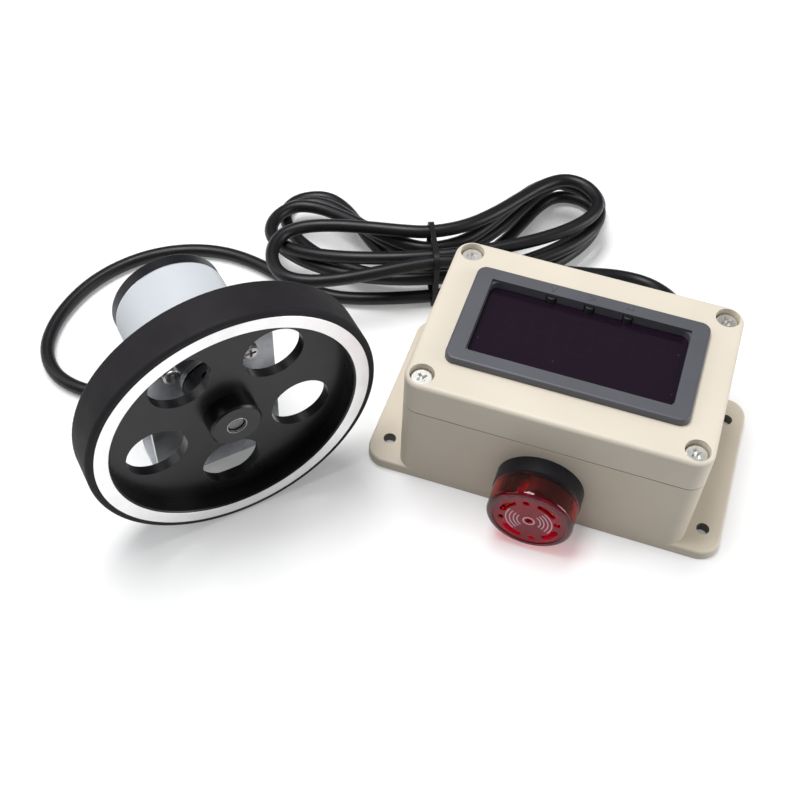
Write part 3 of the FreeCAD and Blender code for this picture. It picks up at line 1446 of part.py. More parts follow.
enclosure_base()
lid_gasket()
enclosure_lid()
lid_screws()
panel_case()
display_window()
digit_blocks()
display_board()
button_switches()
panel_buttons()
panel_back()
control_board()
terminal_block()
sounder_pieces()
gland_pieces()
wheel_disc()
tyre()
hub_screws()
encoder_shaft()
encoder_flange()
bearings()
encoder_housing()
encoder_cap()
code_disc()
sensor_board()
sensor_head()
encoder_relief()
encoder_bracket()
bracket_screws()
cables()
hank_tie()

doc.recompute()
for item in doc.Objects:
    if {"Invalid", "Error"} & set(item.State):
        raise RuntimeError(f"{item.Label} failed: {item.State}")

os.makedirs("parts", exist_ok=True)
for piece in pieces:
    if piece.Shape.isNull() or not piece.Shape.isValid():
        raise RuntimeError(f"{piece.Label} has no valid shape")
    piece.Shape.exportStep(os.path.join("parts", f"{piece.Label}.step"))
    print(piece.Label, round(piece.Shape.Volume, 1), len(piece.Shape.Solids))
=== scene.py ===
import math

import bmesh
import bpy
from mathutils import Matrix, Vector

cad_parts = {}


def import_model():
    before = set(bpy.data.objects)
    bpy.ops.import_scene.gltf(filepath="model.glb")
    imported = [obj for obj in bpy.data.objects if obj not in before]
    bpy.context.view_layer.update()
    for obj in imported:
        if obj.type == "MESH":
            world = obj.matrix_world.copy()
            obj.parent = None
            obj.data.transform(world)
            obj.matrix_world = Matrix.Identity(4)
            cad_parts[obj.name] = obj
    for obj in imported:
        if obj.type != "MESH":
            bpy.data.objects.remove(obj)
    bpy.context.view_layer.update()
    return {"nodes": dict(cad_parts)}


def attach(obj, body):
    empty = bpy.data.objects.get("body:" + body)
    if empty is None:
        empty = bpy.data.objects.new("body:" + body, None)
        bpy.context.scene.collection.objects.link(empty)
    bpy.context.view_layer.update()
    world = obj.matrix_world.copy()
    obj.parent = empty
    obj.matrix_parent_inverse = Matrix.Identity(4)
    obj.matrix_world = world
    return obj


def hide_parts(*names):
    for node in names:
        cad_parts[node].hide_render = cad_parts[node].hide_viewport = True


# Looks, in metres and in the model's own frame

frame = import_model()
MM = 0.001

# Camera, solved from the photograph
CAMERA_PLACE = (0.017665, -0.266078, 0.353587)
CAMERA_YAW = -0.282
CAMERA_PITCH = 0.9135
CAMERA_ROLL = 0.05
CAMERA_LENS = 55.33
CAMERA_SENSOR = 36.0

# Display box
# The box's mouldings get painted shade in the seam and on the walls of the ear holes
SEAM_LEVEL = 0.036
SEAM_WIDTH = 0.0003
EAR_HOLE_PLACE = (0.0554, 0.0242)
EAR_HOLE_REACH = 0.0022
BEZEL_TOP = 0.0527
MARK_ROW_Y = 0.0188
BUTTON_ROW_X = (-0.0133, -0.0003, 0.0127)
DIGIT_TOP = 0.04755
DIGIT_PITCH = 0.0131
DIGIT_MIDDLE = 0.0030

# Sounder: its axis runs out of the front wall
SOUNDER_PLACE = (0.0, -0.034, 0.0164)
LENS_BACK = 0.0063
LENS_FACE = 0.0149
LENS_FACE_RADIUS = 0.0122
LENS_FACE_DEPTH = 0.0006
LENS_BORE = 0.0127
LENS_SHADE = (0.70, 0.28, 0.32, 1)
FACE_TURN = math.radians(11.7)
RING_RADIUS = 0.00185
RING_WIDTH = 0.0005
ARC_RADII = (0.0039, 0.0051, 0.0064, 0.0077)
ARC_WIDTH = 0.0004
ARC_HALF_TURN = 0.73
# Black walls inside the lens: where each starts and ends, in degrees
BAFFLE_WALLS = [(35, 102), (122, 134), (160, 215), (245, 295), (325, 372)]

# Measuring wheel and encoder: local +X points out of the wheel's front face
AXLE_PLACE = (-0.09203, -0.06577, 0.04775)
UNIT_TURN = math.radians(-43.75)
RIM_BORE = 0.04045
RIM_CHAMFER = 0.0005
RIM_OUTER = 0.04545
BORE_RADIUS = 0.00302
SHAFT_SETBACK = 0.0009
ENCODER_RADIUS = 0.019
LABEL_FRONT = -0.0306
LABEL_BACK = -0.0546

# Cable
CABLE_DIAMETER = 0.005
CABLE_STRAIGHT = 0.005
ENCODER_ROUTE = [
    (-0.12887, -0.0305, 0.02425), (-0.12887, -0.0305, 0.0162), (-0.1312, -0.0313, 0.0085),
    (-0.1376, -0.0333, 0.0038), (-0.1469, -0.0361, 0.0026), (-0.1570, -0.0388, 0.0026),
    (-0.1680, -0.0404, 0.0026), (-0.1794, -0.0373, 0.0026), (-0.1878, -0.0285, 0.0026),
    (-0.1910, -0.0166, 0.0026), (-0.1906, -0.0040, 0.0026), (-0.1874, 0.0086, 0.0026),
    (-0.1810, 0.0202, 0.0026), (-0.1716, 0.0302, 0.0026), (-0.1598, 0.0372, 0.0026),
    (-0.1465, 0.0406, 0.0026), (-0.1325, 0.0396, 0.0026), (-0.1185, 0.0354, 0.0026),
    (-0.1040, 0.0330, 0.0026),
]
BOX_ROUTE = [
    (-0.0340, 0.0575, 0.0175), (-0.0214, 0.0646, 0.0134), (-0.0092, 0.0711, 0.0098),
    (0.0026, 0.0772, 0.0072), (0.0142, 0.0784, 0.0066), (0.0237, 0.0731, 0.0086),
    (0.0289, 0.0641, 0.0122), (0.0290, 0.0542, 0.0150), (0.0290, 0.0440, 0.0150),
]

# Hank: loops round a tied waist. Each loop has its right tip and its left tip, as a direction
# in degrees, a distance from the waist and a lean in degrees, and then how full its four
# quarters are and how their fullness is shared. Sides are distances across the waist.
HANK_MIDDLE = (-0.065, 0.0535, 0.0)
HANK_START_WAY = (1.0, 0.02, 0.0)
HANK_END_WAY = (0.86, 0.47, -0.25)
HANK_LOOPS = [
    ((55.5, 0.0802, 21.8), (158.2, 0.0697, -21.9), (1.31, 1.19, 1.05, 1.16), (0.40, 1.40, 1.00, 2.01)),
    ((55.7, 0.0813, 17.3), (171.1, 0.0670, -17.8), (1.40, 1.13, 1.17, 1.35), (0.40, 1.30, 1.30, 2.15)),
    ((51.2, 0.0741, 15.8), (180.4, 0.0649, -6.3), (1.47, 1.07, 0.85, 1.20), (0.49, 0.89, 1.50, 1.31)),
    ((48.9, 0.0718, 14.1), (203.8, 0.0614, -2.5), (1.33, 1.08, 0.98, 0.95), (0.62, 1.30, 1.50, 0.65)),
]
LEAD_QUARTER = (1.05, 1.75)
WAIST_TURN = 24.0
NEAR_TURN = 26.0
FAR_TURN = 22.0
NEAR_SIDES = (0.0093, 0.0033)
FAR_SIDES = (0.0033, 0.0062)
TIP_HEIGHT = 0.0026
WAIST_HEIGHT = 0.0045
LAYER_PITCH = 0.0062
QUARTER_POINTS = 6

# Stray dust: cells to the metre, its colour on black parts and on the smoked window
FLECK_CELLS = 260.0
DUST_COLOUR = (0.35, 0.34, 0.34, 1)
WINDOW_DUST_COLOUR = (0.30, 0.20, 0.30, 1)

# Studio: tint and strength of the surroundings, as light and as seen in gloss
SKY_TINT = (0.95, 0.97, 1.0, 1)
SKY_STRENGTH = 0.36
SKY_STRENGTH_IN_GLOSS = 0.16
WHITE = (1, 1, 1, 1)
FLOOR_REACH = 3.0
FLOOR_LEVEL = -0.0002
FLOOR_GLOW = 0.18
FLOOR_BOUNCE = (0.42, 0.42, 0.42, 1)
LAMP_AIM = (-0.05, 0.0, 0.0)


# Node helpers


class Nodes:
    """Builds the nodes and links of a material or world, one short call each."""

    def __init__(self, made):
        made.use_nodes = True
        self.made = made
        self.tree = made.node_tree
        self.tree.nodes.clear()

    def feed(self, socket, value):
        """Links a socket to another node's output, or sets its value."""
        if isinstance(value, bpy.types.NodeSocket):
            self.tree.links.new(value, socket)
        else:
            socket.default_value = value

    def add(self, kind, inputs=None, **settings):
        node = self.tree.nodes.new(kind)
        for name, value in settings.items():
            setattr(node, name, value)
        for name, value in (inputs or {}).items():
            self.feed(node.inputs[name], value)
        return node

    def place(self, scale=(1, 1, 1), turned=False):
        """Where on the object a point is, in metres, or along and round the wheel's axle."""
        where = self.add("ShaderNodeTexCoord").outputs["Object"]
        if turned:
            where = self.add("ShaderNodeMapping", {"Vector": where, "Location": [-c for c in AXLE_PLACE]})
            where = self.add("ShaderNodeMapping", {"Vector": where.outputs[0], "Rotation": (0, 0, -UNIT_TURN)})
            where = where.outputs[0]
        return self.add("ShaderNodeMapping", {"Vector": where, "Scale": scale}).outputs[0]

    def noise(self, where, scale, detail=2.0, roughness=0.5):
        return self.add("ShaderNodeTexNoise", {"Vector": where, "Scale": scale, "Detail": detail,
                                               "Roughness": roughness}).outputs["Fac"]

    def ramp(self, factor, stops, interpolation="LINEAR"):
        node = self.add("ShaderNodeValToRGB", {"Fac": factor})
        node.color_ramp.interpolation = interpolation
        while len(node.color_ramp.elements) < len(stops):
            node.color_ramp.elements.new(0.5)
        for element, (place, colour) in zip(node.color_ramp.elements, stops):
            element.position = place
            element.color = (*colour, 1.0)
        return node.outputs["Color"]

    def spread(self, factor, low, high):
        """Maps a factor from 0..1 to low..high."""
        return self.add("ShaderNodeMapRange", {"Value": factor, "To Min": low, "To Max": high}).outputs["Result"]

    def math(self, operation, first, second=0.0):
        node = self.add("ShaderNodeMath", operation=operation)
        for socket, value in zip(node.inputs, (first, second)):
            self.feed(socket, value)
        return node.outputs[0]

    def specks(self, where, size):
        """One where a stray fleck of dust lies, else nothing; size in metres."""
        cells = self.add("ShaderNodeTexVoronoi", {"Vector": where, "Scale": FLECK_CELLS}, feature="F1")
        return self.math("LESS_THAN", cells.outputs["Distance"], size * FLECK_CELLS)

    def blend(self, factor, first, second):
        """The first colour where the factor is nothing, the second where it is one."""
        node = self.add("ShaderNodeMix", data_type="RGBA")
        for socket, value in zip((node.inputs[0], node.inputs[6], node.inputs[7]), (factor, first, second)):
            self.feed(socket, value)
        return node.outputs[2]

    def bump(self, height, distance, strength=1.0):
        return self.add("ShaderNodeBump", {"Height": height, "Distance": distance,
                                           "Strength": strength}).outputs["Normal"]

    def mix(self, factor, first, second):
        """The first shader where the factor is nothing, the second where it is one."""
        node = self.add("ShaderNodeMixShader", {"Fac": factor})
        for socket, shader in zip(node.inputs[1:], (first, second)):
            self.feed(socket, shader.outputs[0])
        return node

    def finish(self, shader):
        self.add("ShaderNodeOutputMaterial", {"Surface": shader.outputs[0]})
        return self.made


def tint(colour, amount):
    return tuple(min(1.0, c * amount) for c in colour)


def box_painted_shade_mask(nodes):
    """One where shade is painted into the box's moulding, in its seam and on the walls of its ear holes, else
    nothing.
    """
    parts = nodes.add("ShaderNodeSeparateXYZ", {"Vector": nodes.place()})
    above = nodes.math("ABSOLUTE", nodes.math("SUBTRACT", parts.outputs["Z"], SEAM_LEVEL))
    seam = nodes.math("LESS_THAN", above, SEAM_WIDTH / 2)
    sides = [nodes.math("SUBTRACT", nodes.math("ABSOLUTE", parts.outputs[axis]), place)
             for axis, place in zip("XY", EAR_HOLE_PLACE)]
    reach = nodes.math("ADD", *(nodes.math("MULTIPLY", side, side) for side in sides))
    return nodes.math("MAXIMUM", seam, nodes.math("LESS_THAN", reach, EAR_HOLE_REACH ** 2))


def moulded_plastic(name, colour, roughness=0.45, grain=1700.0, grain_depth=0.00003, blotch=0.03, gloss=0.5,
                    dust=0.0, painted_shade=0.0):
    """Fine spark-eroded grain, slight unevenness in colour and a few scuffs, and optionally painted shade darkening
    the box's seam and ear holes.
    """
    nodes = Nodes(bpy.data.materials.new(name))
    where = nodes.place()
    wide = nodes.noise(where, 38.0, 3.0)
    base = nodes.ramp(wide, [(0.3, tint(colour, 1 - blotch)), (0.7, tint(colour, 1 + blotch))])
    if dust:
        base = nodes.blend(nodes.specks(where, dust), base, DUST_COLOUR)
    if painted_shade:
        # Painted shade: the seam and the ear-hole walls are darkened in the base colour
        base = nodes.blend(box_painted_shade_mask(nodes), base, (*tint(colour, painted_shade), 1))
    fine = nodes.noise(where, grain, 2.0, 0.6)
    scuffs = nodes.noise(nodes.place((1.0, 3.0, 1.0)), 210.0, 6.0, 0.7)
    rough = nodes.spread(scuffs, roughness - 0.08, roughness + 0.08)
    shader = nodes.add("ShaderNodeBsdfPrincipled", {
        "Base Color": base, "Roughness": rough, "IOR": 1.5, "Specular IOR Level": gloss,
        "Normal": nodes.bump(fine, grain_depth, 0.6)})
    return nodes.finish(shader)


def rubber(name, colour, roughness=0.62, grain=900.0, grain_depth=0.00004, sheen=0.15, gloss=0.5):
    """Matt elastomer with a fine pebbled skin and a little dust."""
    nodes = Nodes(bpy.data.materials.new(name))
    where = nodes.place()
    dust = nodes.noise(where, 75.0, 5.0, 0.65)
    base = nodes.ramp(dust, [(0.35, colour), (0.8, tint(colour, 1.5))])
    rough = nodes.spread(nodes.noise(where, 160.0, 3.0), roughness - 0.1, roughness + 0.1)
    shader = nodes.add("ShaderNodeBsdfPrincipled", {
        "Base Color": base, "Roughness": rough, "IOR": 1.5, "Specular IOR Level": gloss,
        "Sheen Weight": sheen, "Sheen Roughness": 0.4,
        "Normal": nodes.bump(nodes.noise(where, grain, 2.0, 0.6), grain_depth, 0.7)})
    return nodes.finish(shader)


def metal(name, colour, roughness=0.3, streak=(1.0, 1.0, 1.0), turned=False, scale=400.0, depth=0.00001):
    """Bare or plated metal with fine tool marks along one direction."""
    nodes = Nodes(bpy.data.materials.new(name))
    marks = nodes.noise(nodes.place(streak, turned), scale, 4.0, 0.6)
    cloud = nodes.noise(nodes.place(), 60.0, 4.0, 0.6)
    base = nodes.ramp(cloud, [(0.3, tint(colour, 0.9)), (0.7, tint(colour, 1.06))])
    rough = nodes.spread(marks, roughness - 0.08, roughness + 0.12)
    shader = nodes.add("ShaderNodeBsdfPrincipled", {
        "Base Color": base, "Metallic": 1.0, "Roughness": rough,
        "Normal": nodes.bump(marks, depth, 0.5)})
    return nodes.finish(shader)


def spangled_steel(name, colour, roughness=0.34):
    """Zinc-coated sheet: flat crystals a few millimetres across under fine scratches."""
    nodes = Nodes(bpy.data.materials.new(name))
    where = nodes.place()
    cells = nodes.add("ShaderNodeTexVoronoi", {"Vector": where, "Scale": 260.0}, feature="F1")
    tone = nodes.add("ShaderNodeSeparateColor", {"Color": cells.outputs["Color"]}).outputs["Red"]
    cloud = nodes.noise(where, 45.0, 4.0, 0.6)
    mixed = nodes.math("ADD", nodes.math("MULTIPLY", tone, 0.4), nodes.math("MULTIPLY", cloud, 0.6))
    base = nodes.ramp(mixed, [(0.25, tint(colour, 0.8)), (0.75, tint(colour, 1.12))])
    scratches = nodes.noise(nodes.place((0.3, 0.3, 8.0)), 500.0, 3.0, 0.6)
    rough = nodes.spread(nodes.math("ADD", nodes.math("MULTIPLY", tone, 0.5), scratches), roughness - 0.08,
                         roughness + 0.14)
    shader = nodes.add("ShaderNodeBsdfPrincipled", {
        "Base Color": base, "Metallic": 1.0, "Roughness": rough,
        "Normal": nodes.bump(scratches, 0.00001, 0.5)})
    return nodes.finish(shader)


def clear_plastic(name, colour, roughness=0.06, weight=1.0, dust=0.00012):
    """Polished see-through moulding with faint flow marks and stray flecks of dust."""
    nodes = Nodes(bpy.data.materials.new(name))
    flow = nodes.noise(nodes.place((1.0, 0.25, 1.0)), 240.0, 3.0)
    base = nodes.ramp(flow, [(0.3, tint(colour, 0.93)), (0.7, colour)])
    rough = nodes.spread(nodes.noise(nodes.place(), 320.0, 4.0), roughness, roughness + 0.06)
    fleck = nodes.specks(nodes.place(), dust)
    base = nodes.blend(fleck, base, WINDOW_DUST_COLOUR)
    clear = nodes.spread(fleck, weight, 0.0)
    shader = nodes.add("ShaderNodeBsdfPrincipled", {
        "Base Color": base, "Roughness": rough, "IOR": 1.49, "Transmission Weight": clear,
        "Normal": nodes.bump(flow, 0.00002, 0.3)})
    return nodes.finish(shader)


def lens_moulding(name, wall, rim, face):
    """Deep red see-through moulding: polished wall and rim, etched face, and a red shadow."""
    nodes = Nodes(bpy.data.materials.new(name))
    where = nodes.add("ShaderNodeMapping", {"Vector": nodes.place(), "Location": [-c for c in SOUNDER_PLACE]})
    parts = nodes.add("ShaderNodeSeparateXYZ", {"Vector": where.outputs[0]})
    reach = nodes.math("POWER", nodes.math("ADD", nodes.math("POWER", parts.outputs["X"], 2.0),
                                           nodes.math("POWER", parts.outputs["Z"], 2.0)), 0.5)
    front = nodes.math("LESS_THAN", parts.outputs["Y"], LENS_FACE_DEPTH - LENS_FACE)
    etched = nodes.math("MULTIPLY", front, nodes.math("LESS_THAN", reach, LENS_FACE_RADIUS - 0.05 * MM))
    zone = nodes.math("MULTIPLY", nodes.math("ADD", front, etched), 0.5)
    base = nodes.ramp(zone, [(0.0, wall), (0.4, rim), (0.8, face)], "CONSTANT")
    flow = nodes.noise(nodes.place((1.0, 0.25, 1.0)), 240.0, 3.0)
    etch = nodes.noise(nodes.place(), 2600.0, 2.0, 0.6)
    rough = nodes.math("ADD", nodes.spread(etched, 0.05, 0.32), nodes.spread(flow, 0.0, 0.05))
    clear = nodes.math("SUBTRACT", 1.0, nodes.math("ADD", nodes.math("MULTIPLY", front, 0.25),
                                                   nodes.math("MULTIPLY", etched, 0.25)))
    grain = nodes.math("ADD", flow, nodes.math("MULTIPLY", etch, etched))
    shader = nodes.add("ShaderNodeBsdfPrincipled", {
        "Base Color": base, "Roughness": rough, "IOR": 1.49, "Specular IOR Level": 0.12,
        "Transmission Weight": clear, "Normal": nodes.bump(grain, 0.00002, 0.3)})
    shade = nodes.add("ShaderNodeBsdfTransparent", {"Color": LENS_SHADE})
    path = nodes.add("ShaderNodeLightPath")
    return nodes.finish(nodes.mix(path.outputs["Is Shadow Ray"], shader, shade))


def circuit_board(name, colour):
    """Solder mask over a faint grid of tracks."""
    nodes = Nodes(bpy.data.materials.new(name))
    where = nodes.place()
    tracks = nodes.add("ShaderNodeTexBrick", {"Vector": where, "Scale": 160.0, "Mortar Size": 0.06,
                                              "Color1": (*colour, 1), "Color2": (*tint(colour, 0.85), 1),
                                              "Mortar": (*tint(colour, 1.5), 1)})
    rough = nodes.spread(nodes.noise(where, 300.0, 3.0), 0.25, 0.4)
    shader = nodes.add("ShaderNodeBsdfPrincipled", {
        "Base Color": tracks.outputs["Color"], "Roughness": rough,
        "Normal": nodes.bump(tracks.outputs["Fac"], 0.00003, 0.4)})
    return nodes.finish(shader)


FINISHES = {
    # Both box mouldings carry painted shade in the seam and the ear holes
    "beige_plastic": moulded_plastic("beige_moulding", (0.635, 0.565, 0.46), 0.5, painted_shade=0.25),
    "cream_plastic": moulded_plastic("cream_moulding", (0.65, 0.59, 0.49), 0.48, painted_shade=0.25),
    "seal_rubber": rubber("seal_elastomer", (0.10, 0.10, 0.10)),
    "zinc_steel": metal("zinc_plate", (0.93, 0.92, 0.89), 0.34, (1.0, 1.0, 1.0), scale=900.0),
    "grey_plastic": moulded_plastic("grey_moulding", (0.078, 0.080, 0.092), 0.46, blotch=0.08),
    "smoked_acrylic": clear_plastic("smoked_sheet", (0.10, 0.045, 0.11), 0.05, weight=0.9),
    "digit_resin": moulded_plastic("digit_potting", (0.20, 0.14, 0.19), 0.5),
    "circuit_board": circuit_board("solder_mask", (0.02, 0.14, 0.06)),
    "black_plastic": moulded_plastic("black_moulding", (0.008, 0.008, 0.011), 0.38, blotch=0.2, gloss=0.3),
    "green_plastic": moulded_plastic("green_moulding", (0.04, 0.30, 0.10), 0.4),
    "red_lens": lens_moulding("red_lens_moulding", (0.78, 0.001, 0.016), (0.22, 0.008, 0.028), (0.38, 0.010, 0.030)),
    "brass_plate": metal("rolled_brass", (0.70, 0.50, 0.22), 0.3),
    "black_casting": moulded_plastic("black_anodising", (0.007, 0.007, 0.008), 0.30, grain_depth=0.000008,
                                     blotch=0.25, gloss=0.32, dust=0.00008),
    "tyre_rubber": rubber("tyre_elastomer", (0.009, 0.0075, 0.009), 0.7, sheen=0.0, gloss=0.26),
    "black_steel": metal("blackened_steel", (0.06, 0.06, 0.06), 0.35),
    "bright_steel": metal("ground_steel", (0.12, 0.12, 0.12), 0.42, (1.0, 8.0, 8.0), True),
    "bright_aluminium": metal("turned_aluminium", (0.80, 0.80, 0.81), 0.3, (40.0, 0.3, 0.3), True, 300.0),
    "galvanised_steel": spangled_steel("galvanised_sheet", (0.50, 0.52, 0.55)),
    "black_rubber": rubber("sleeve_elastomer", (0.014, 0.014, 0.014), 0.5),
    "cable_sheath": rubber("cable_sheath_vinyl", (0.006, 0.006, 0.007), 0.4, grain=1400.0, grain_depth=0.00002,
                           sheen=0.0, gloss=0.35),
    "tie_plastic": moulded_plastic("tie_nylon", (0.006, 0.006, 0.007), 0.45, gloss=0.3),
}

# Nodes that don't take the finish of their material slot
CAP_FINISH = moulded_plastic("cap_moulding", (0.022, 0.023, 0.024), 0.42, gloss=0.4)
NODE_FINISHES = {
    "down_button": CAP_FINISH, "shift_button": CAP_FINISH, "reset_button": CAP_FINISH,
    "encoder_shaft": metal("shaft_steel", (0.19, 0.187, 0.185), 0.44, (1.0, 8.0, 8.0), True),
}


def dress_nodes():
    """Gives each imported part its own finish, or the finish of its material slot."""
    for name, part in frame["nodes"].items():
        for slot in part.material_slots:
            slot.material = NODE_FINISHES.get(name) or FINISHES[slot.material.name.split(".")[0]]


# Mesh helpers


def mesh_piece(name, build, finish, body, place=Matrix.Identity(4)):
    """A mesh built in local metres, placed, dressed and set on its body."""
    mesh = bpy.data.meshes.new(name)
    shape = bmesh.new()
    build(shape)
    bmesh.ops.recalc_face_normals(shape, faces=shape.faces)
    shape.transform(place)
    shape.to_mesh(mesh)
    shape.free()
    piece = bpy.data.objects.new(name, mesh)
    bpy.context.collection.objects.link(piece)
    mesh.materials.append(finish)
    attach(piece, body)
    return piece


def smooth_by_angle(piece, degrees=35.0):
    piece.data.shade_smooth()
    piece.data.set_sharp_from_angle(angle=math.radians(degrees))


def lathe(profile, steps=128, start=0.0, end=2 * math.pi):
    """Turns pairs of axial place and radius round local X."""
    whole = abs(end - start - 2 * math.pi) < 1e-6

    def build(shape):
        rings = []
        count = steps if whole else steps + 1
        for step in range(count):
            turn = start + (end - start) * step / steps
            rings.append([shape.verts.new((x, radius * math.cos(turn), radius * math.sin(turn)))
                          for x, radius in profile])
        pairs = list(zip(rings, rings[1:]))
        if whole:
            pairs.append((rings[-1], rings[0]))
        for ring, following in pairs:
            for place in range(len(profile)):
                other = (place + 1) % len(profile)
                shape.faces.new((ring[place], ring[other], following[other], following[place]))
        if not whole:
            shape.faces.new(rings[0])
            shape.faces.new(list(reversed(rings[-1])))
    return build


def unit_matrix():
    return Matrix.Translation(AXLE_PLACE) @ Matrix.Rotation(UNIT_TURN, 4, "Z")


def sounder_matrix():
    return Matrix.Translation(SOUNDER_PLACE) @ Matrix.Rotation(math.radians(-90), 4, "Z")


# Cable


def heading(degrees):
    turn = math.radians(degrees)
    return Vector((math.cos(turn), math.sin(turn), 0))


def hank_knots():
    """Places along the loops: near side of the waist, right tip, far side, left tip."""
    middle = Vector(HANK_MIDDLE)
    outward = heading(WAIST_TURN + 90)
    near_way, far_way = heading(NEAR_TURN), -heading(FAR_TURN)
    last = len(HANK_LOOPS) - 1
    knots = []
    for loop, (right_tip, left_tip, fullness, shares) in enumerate(HANK_LOOPS):
        near_level = Vector((0, 0, WAIST_HEIGHT + LAYER_PITCH * max(loop - 0.5, 0)))
        far_level = Vector((0, 0, WAIST_HEIGHT + LAYER_PITCH * loop))
        tip_level = Vector((0, 0, TIP_HEIGHT + LAYER_PITCH * loop))
        near = middle - outward * NEAR_SIDES[loop % 2] + near_level
        far = middle + outward * FAR_SIDES[loop % 2] + far_level
        places = [(near, near_way)]
        for (turn, reach, lean), side in ((right_tip, (far, far_way)), (left_tip, None)):
            places.append((middle + heading(turn) * reach + tip_level, heading(turn + 90 + lean)))
            if side:
                places.append(side)
        knots += [(*place, *quarter) for place, quarter in zip(places, zip(fullness, shares))]
    near = middle - outward * NEAR_SIDES[0] + Vector((0, 0, WAIST_HEIGHT + LAYER_PITCH * last))
    return knots + [(near, near_way, fullness[0], shares[0])]


def quarter_points(start, way, end, end_way, fullness, share):
    """Points of one quarter of a loop: a cubic curve that leaves and arrives along its ways."""
    gap = end - start
    square = 2 * share * (1 - way.dot(end_way))
    double = 2 * gap.dot(way + end_way * share)
    reach = (math.sqrt(double ** 2 + 4 * square * gap.dot(gap)) - double) / (2 * square)
    leave = start + way * (reach * fullness)
    arrive = end - end_way * (reach * share * fullness)
    points = []
    for step in range(QUARTER_POINTS):
        t = step / QUARTER_POINTS
        points.append(start * (1 - t) ** 3 + leave * (3 * t * (1 - t) ** 2)
                      + arrive * (3 * t ** 2 * (1 - t)) + end * t ** 3)
    return points


def cable_route():
    """The cord's control points: out of the encoder, round the hank, into the gland."""
    start_way = Vector(HANK_START_WAY).normalized()
    end_way = Vector(HANK_END_WAY).normalized()
    first = Vector(ENCODER_ROUTE[-1]) + start_way * CABLE_STRAIGHT
    final = Vector(BOX_ROUTE[0]) - end_way * CABLE_STRAIGHT
    knots = [(first, start_way, *LEAD_QUARTER), *hank_knots(), (final, end_way, 0, 0)]
    turns = []
    for (here, way, *quarter), (there, next_way, *_) in zip(knots, knots[1:]):
        turns += quarter_points(here, way, there, next_way, *quarter)
    return [Vector(point) for point in ENCODER_ROUTE] + turns + [final] + [Vector(point) for point in BOX_ROUTE]


def cable():
    curve = bpy.data.curves.new("cable", "CURVE")
    curve.dimensions = "3D"
    curve.bevel_depth = CABLE_DIAMETER / 2
    curve.bevel_resolution = 6
    curve.resolution_u = 6
    curve.use_fill_caps = True
    route = cable_route()
    spline = curve.splines.new("NURBS")
    spline.points.add(len(route) - 1)
    for point, place in zip(spline.points, route):
        point.co = (*place, 1.0)
    spline.order_u = 3
    spline.use_endpoint_u = True
    piece = bpy.data.objects.new("cable", curve)
    bpy.context.collection.objects.link(piece)
    curve.materials.append(FINISHES["cable_sheath"])
    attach(piece, "frame")
    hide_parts("encoder_cable", "cable_hank", "box_cable")


# Wheel and encoder dressing


def rim_face():
    """The turned front face of the rim, left bright."""
    made = metal("turned_rim_face", (0.90, 0.89, 0.89), 0.34, (1.0, 1.0, 1.0), True, 700.0)
    low, high, proud = RIM_BORE + RIM_CHAMFER, RIM_OUTER - 0.05 * MM, 0.04 * MM
    profile = [(0.0, low), (proud, low + 0.04 * MM), (proud, high - 0.04 * MM), (0.0, high)]
    piece = mesh_piece("rim_face", lathe(profile, 192), made, "wheel", unit_matrix())
    smooth_by_angle(piece)


def bore_edge():
    """The bare turned edge and wall of the hub's bore, in front of the shaft's end."""
    made = metal("turned_bore", (0.52, 0.51, 0.50), 0.38, (1.0, 1.0, 1.0), True, 900.0)
    wall, edge, proud = BORE_RADIUS - 0.06 * MM, BORE_RADIUS + 0.26 * MM, 0.03 * MM
    profile = [
        (-SHAFT_SETBACK, BORE_RADIUS), (-SHAFT_SETBACK, wall), (-0.3 * MM, wall),
        (proud, BORE_RADIUS + 0.14 * MM), (proud, edge), (0.0, edge + 0.03 * MM), (0.0, BORE_RADIUS),
    ]
    piece = mesh_piece("bore_edge", lathe(profile, 96), made, "wheel", unit_matrix())
    smooth_by_angle(piece)


def label_band():
    """The bare film round the encoder's can."""
    made = moulded_plastic("label_film", (0.53, 0.56, 0.59), 0.45, grain=2500.0, grain_depth=0.00001, blotch=0.02)
    low, high = ENCODER_RADIUS + 0.01 * MM, ENCODER_RADIUS + 0.12 * MM
    profile = [(LABEL_BACK, low), (LABEL_BACK, high), (LABEL_FRONT, high), (LABEL_FRONT, low)]
    piece = mesh_piece("label_band", lathe(profile), made, "frame", unit_matrix())
    smooth_by_angle(piece)


# Panel dressing


def stroke(shape, points, width, low, high):
    """A flat raised stroke through points in a level plane."""
    for (ax, ay), (bx, by) in zip(points, points[1:]):
        along = Vector((bx - ax, by - ay, 0)).normalized() * (width / 2)
        across = Vector((-along.y, along.x, 0))
        a, b = Vector((ax, ay, 0)) - along, Vector((bx, by, 0)) + along
        foot = [a + across, a - across, b - across, b + across]
        lower = [shape.verts.new((p.x, p.y, low)) for p in foot]
        upper = [shape.verts.new((p.x, p.y, high)) for p in foot]
        shape.faces.new(upper)
        shape.faces.new(list(reversed(lower)))
        for place in range(4):
            other = (place + 1) % 4
            shape.faces.new((lower[place], lower[other], upper[other], upper[place]))


def bezel_marks():
    """Small moulded arrows behind the buttons: down, sideways and return."""
    made = moulded_plastic("dull_grey_moulding", (0.050, 0.051, 0.058), 0.55, blotch=0.08)
    wide, tall = 1.15 * MM, 1.1 * MM
    marks = [
        [(-wide, tall), (0, -tall), (wide, tall)],
        [(-tall, wide), (tall, 0), (-tall, -wide)],
        [(tall, wide), (tall, -wide / 2), (-tall, -wide / 2), (-tall / 3, wide / 3)],
    ]

    def build(shape):
        for x, mark in zip(BUTTON_ROW_X, marks):
            points = [(x + dx, MARK_ROW_Y + dy) for dx, dy in mark]
            stroke(shape, points, 0.24 * MM, BEZEL_TOP - 0.1 * MM, BEZEL_TOP + 0.05 * MM)
    mesh_piece("bezel_marks", build, made, "frame")


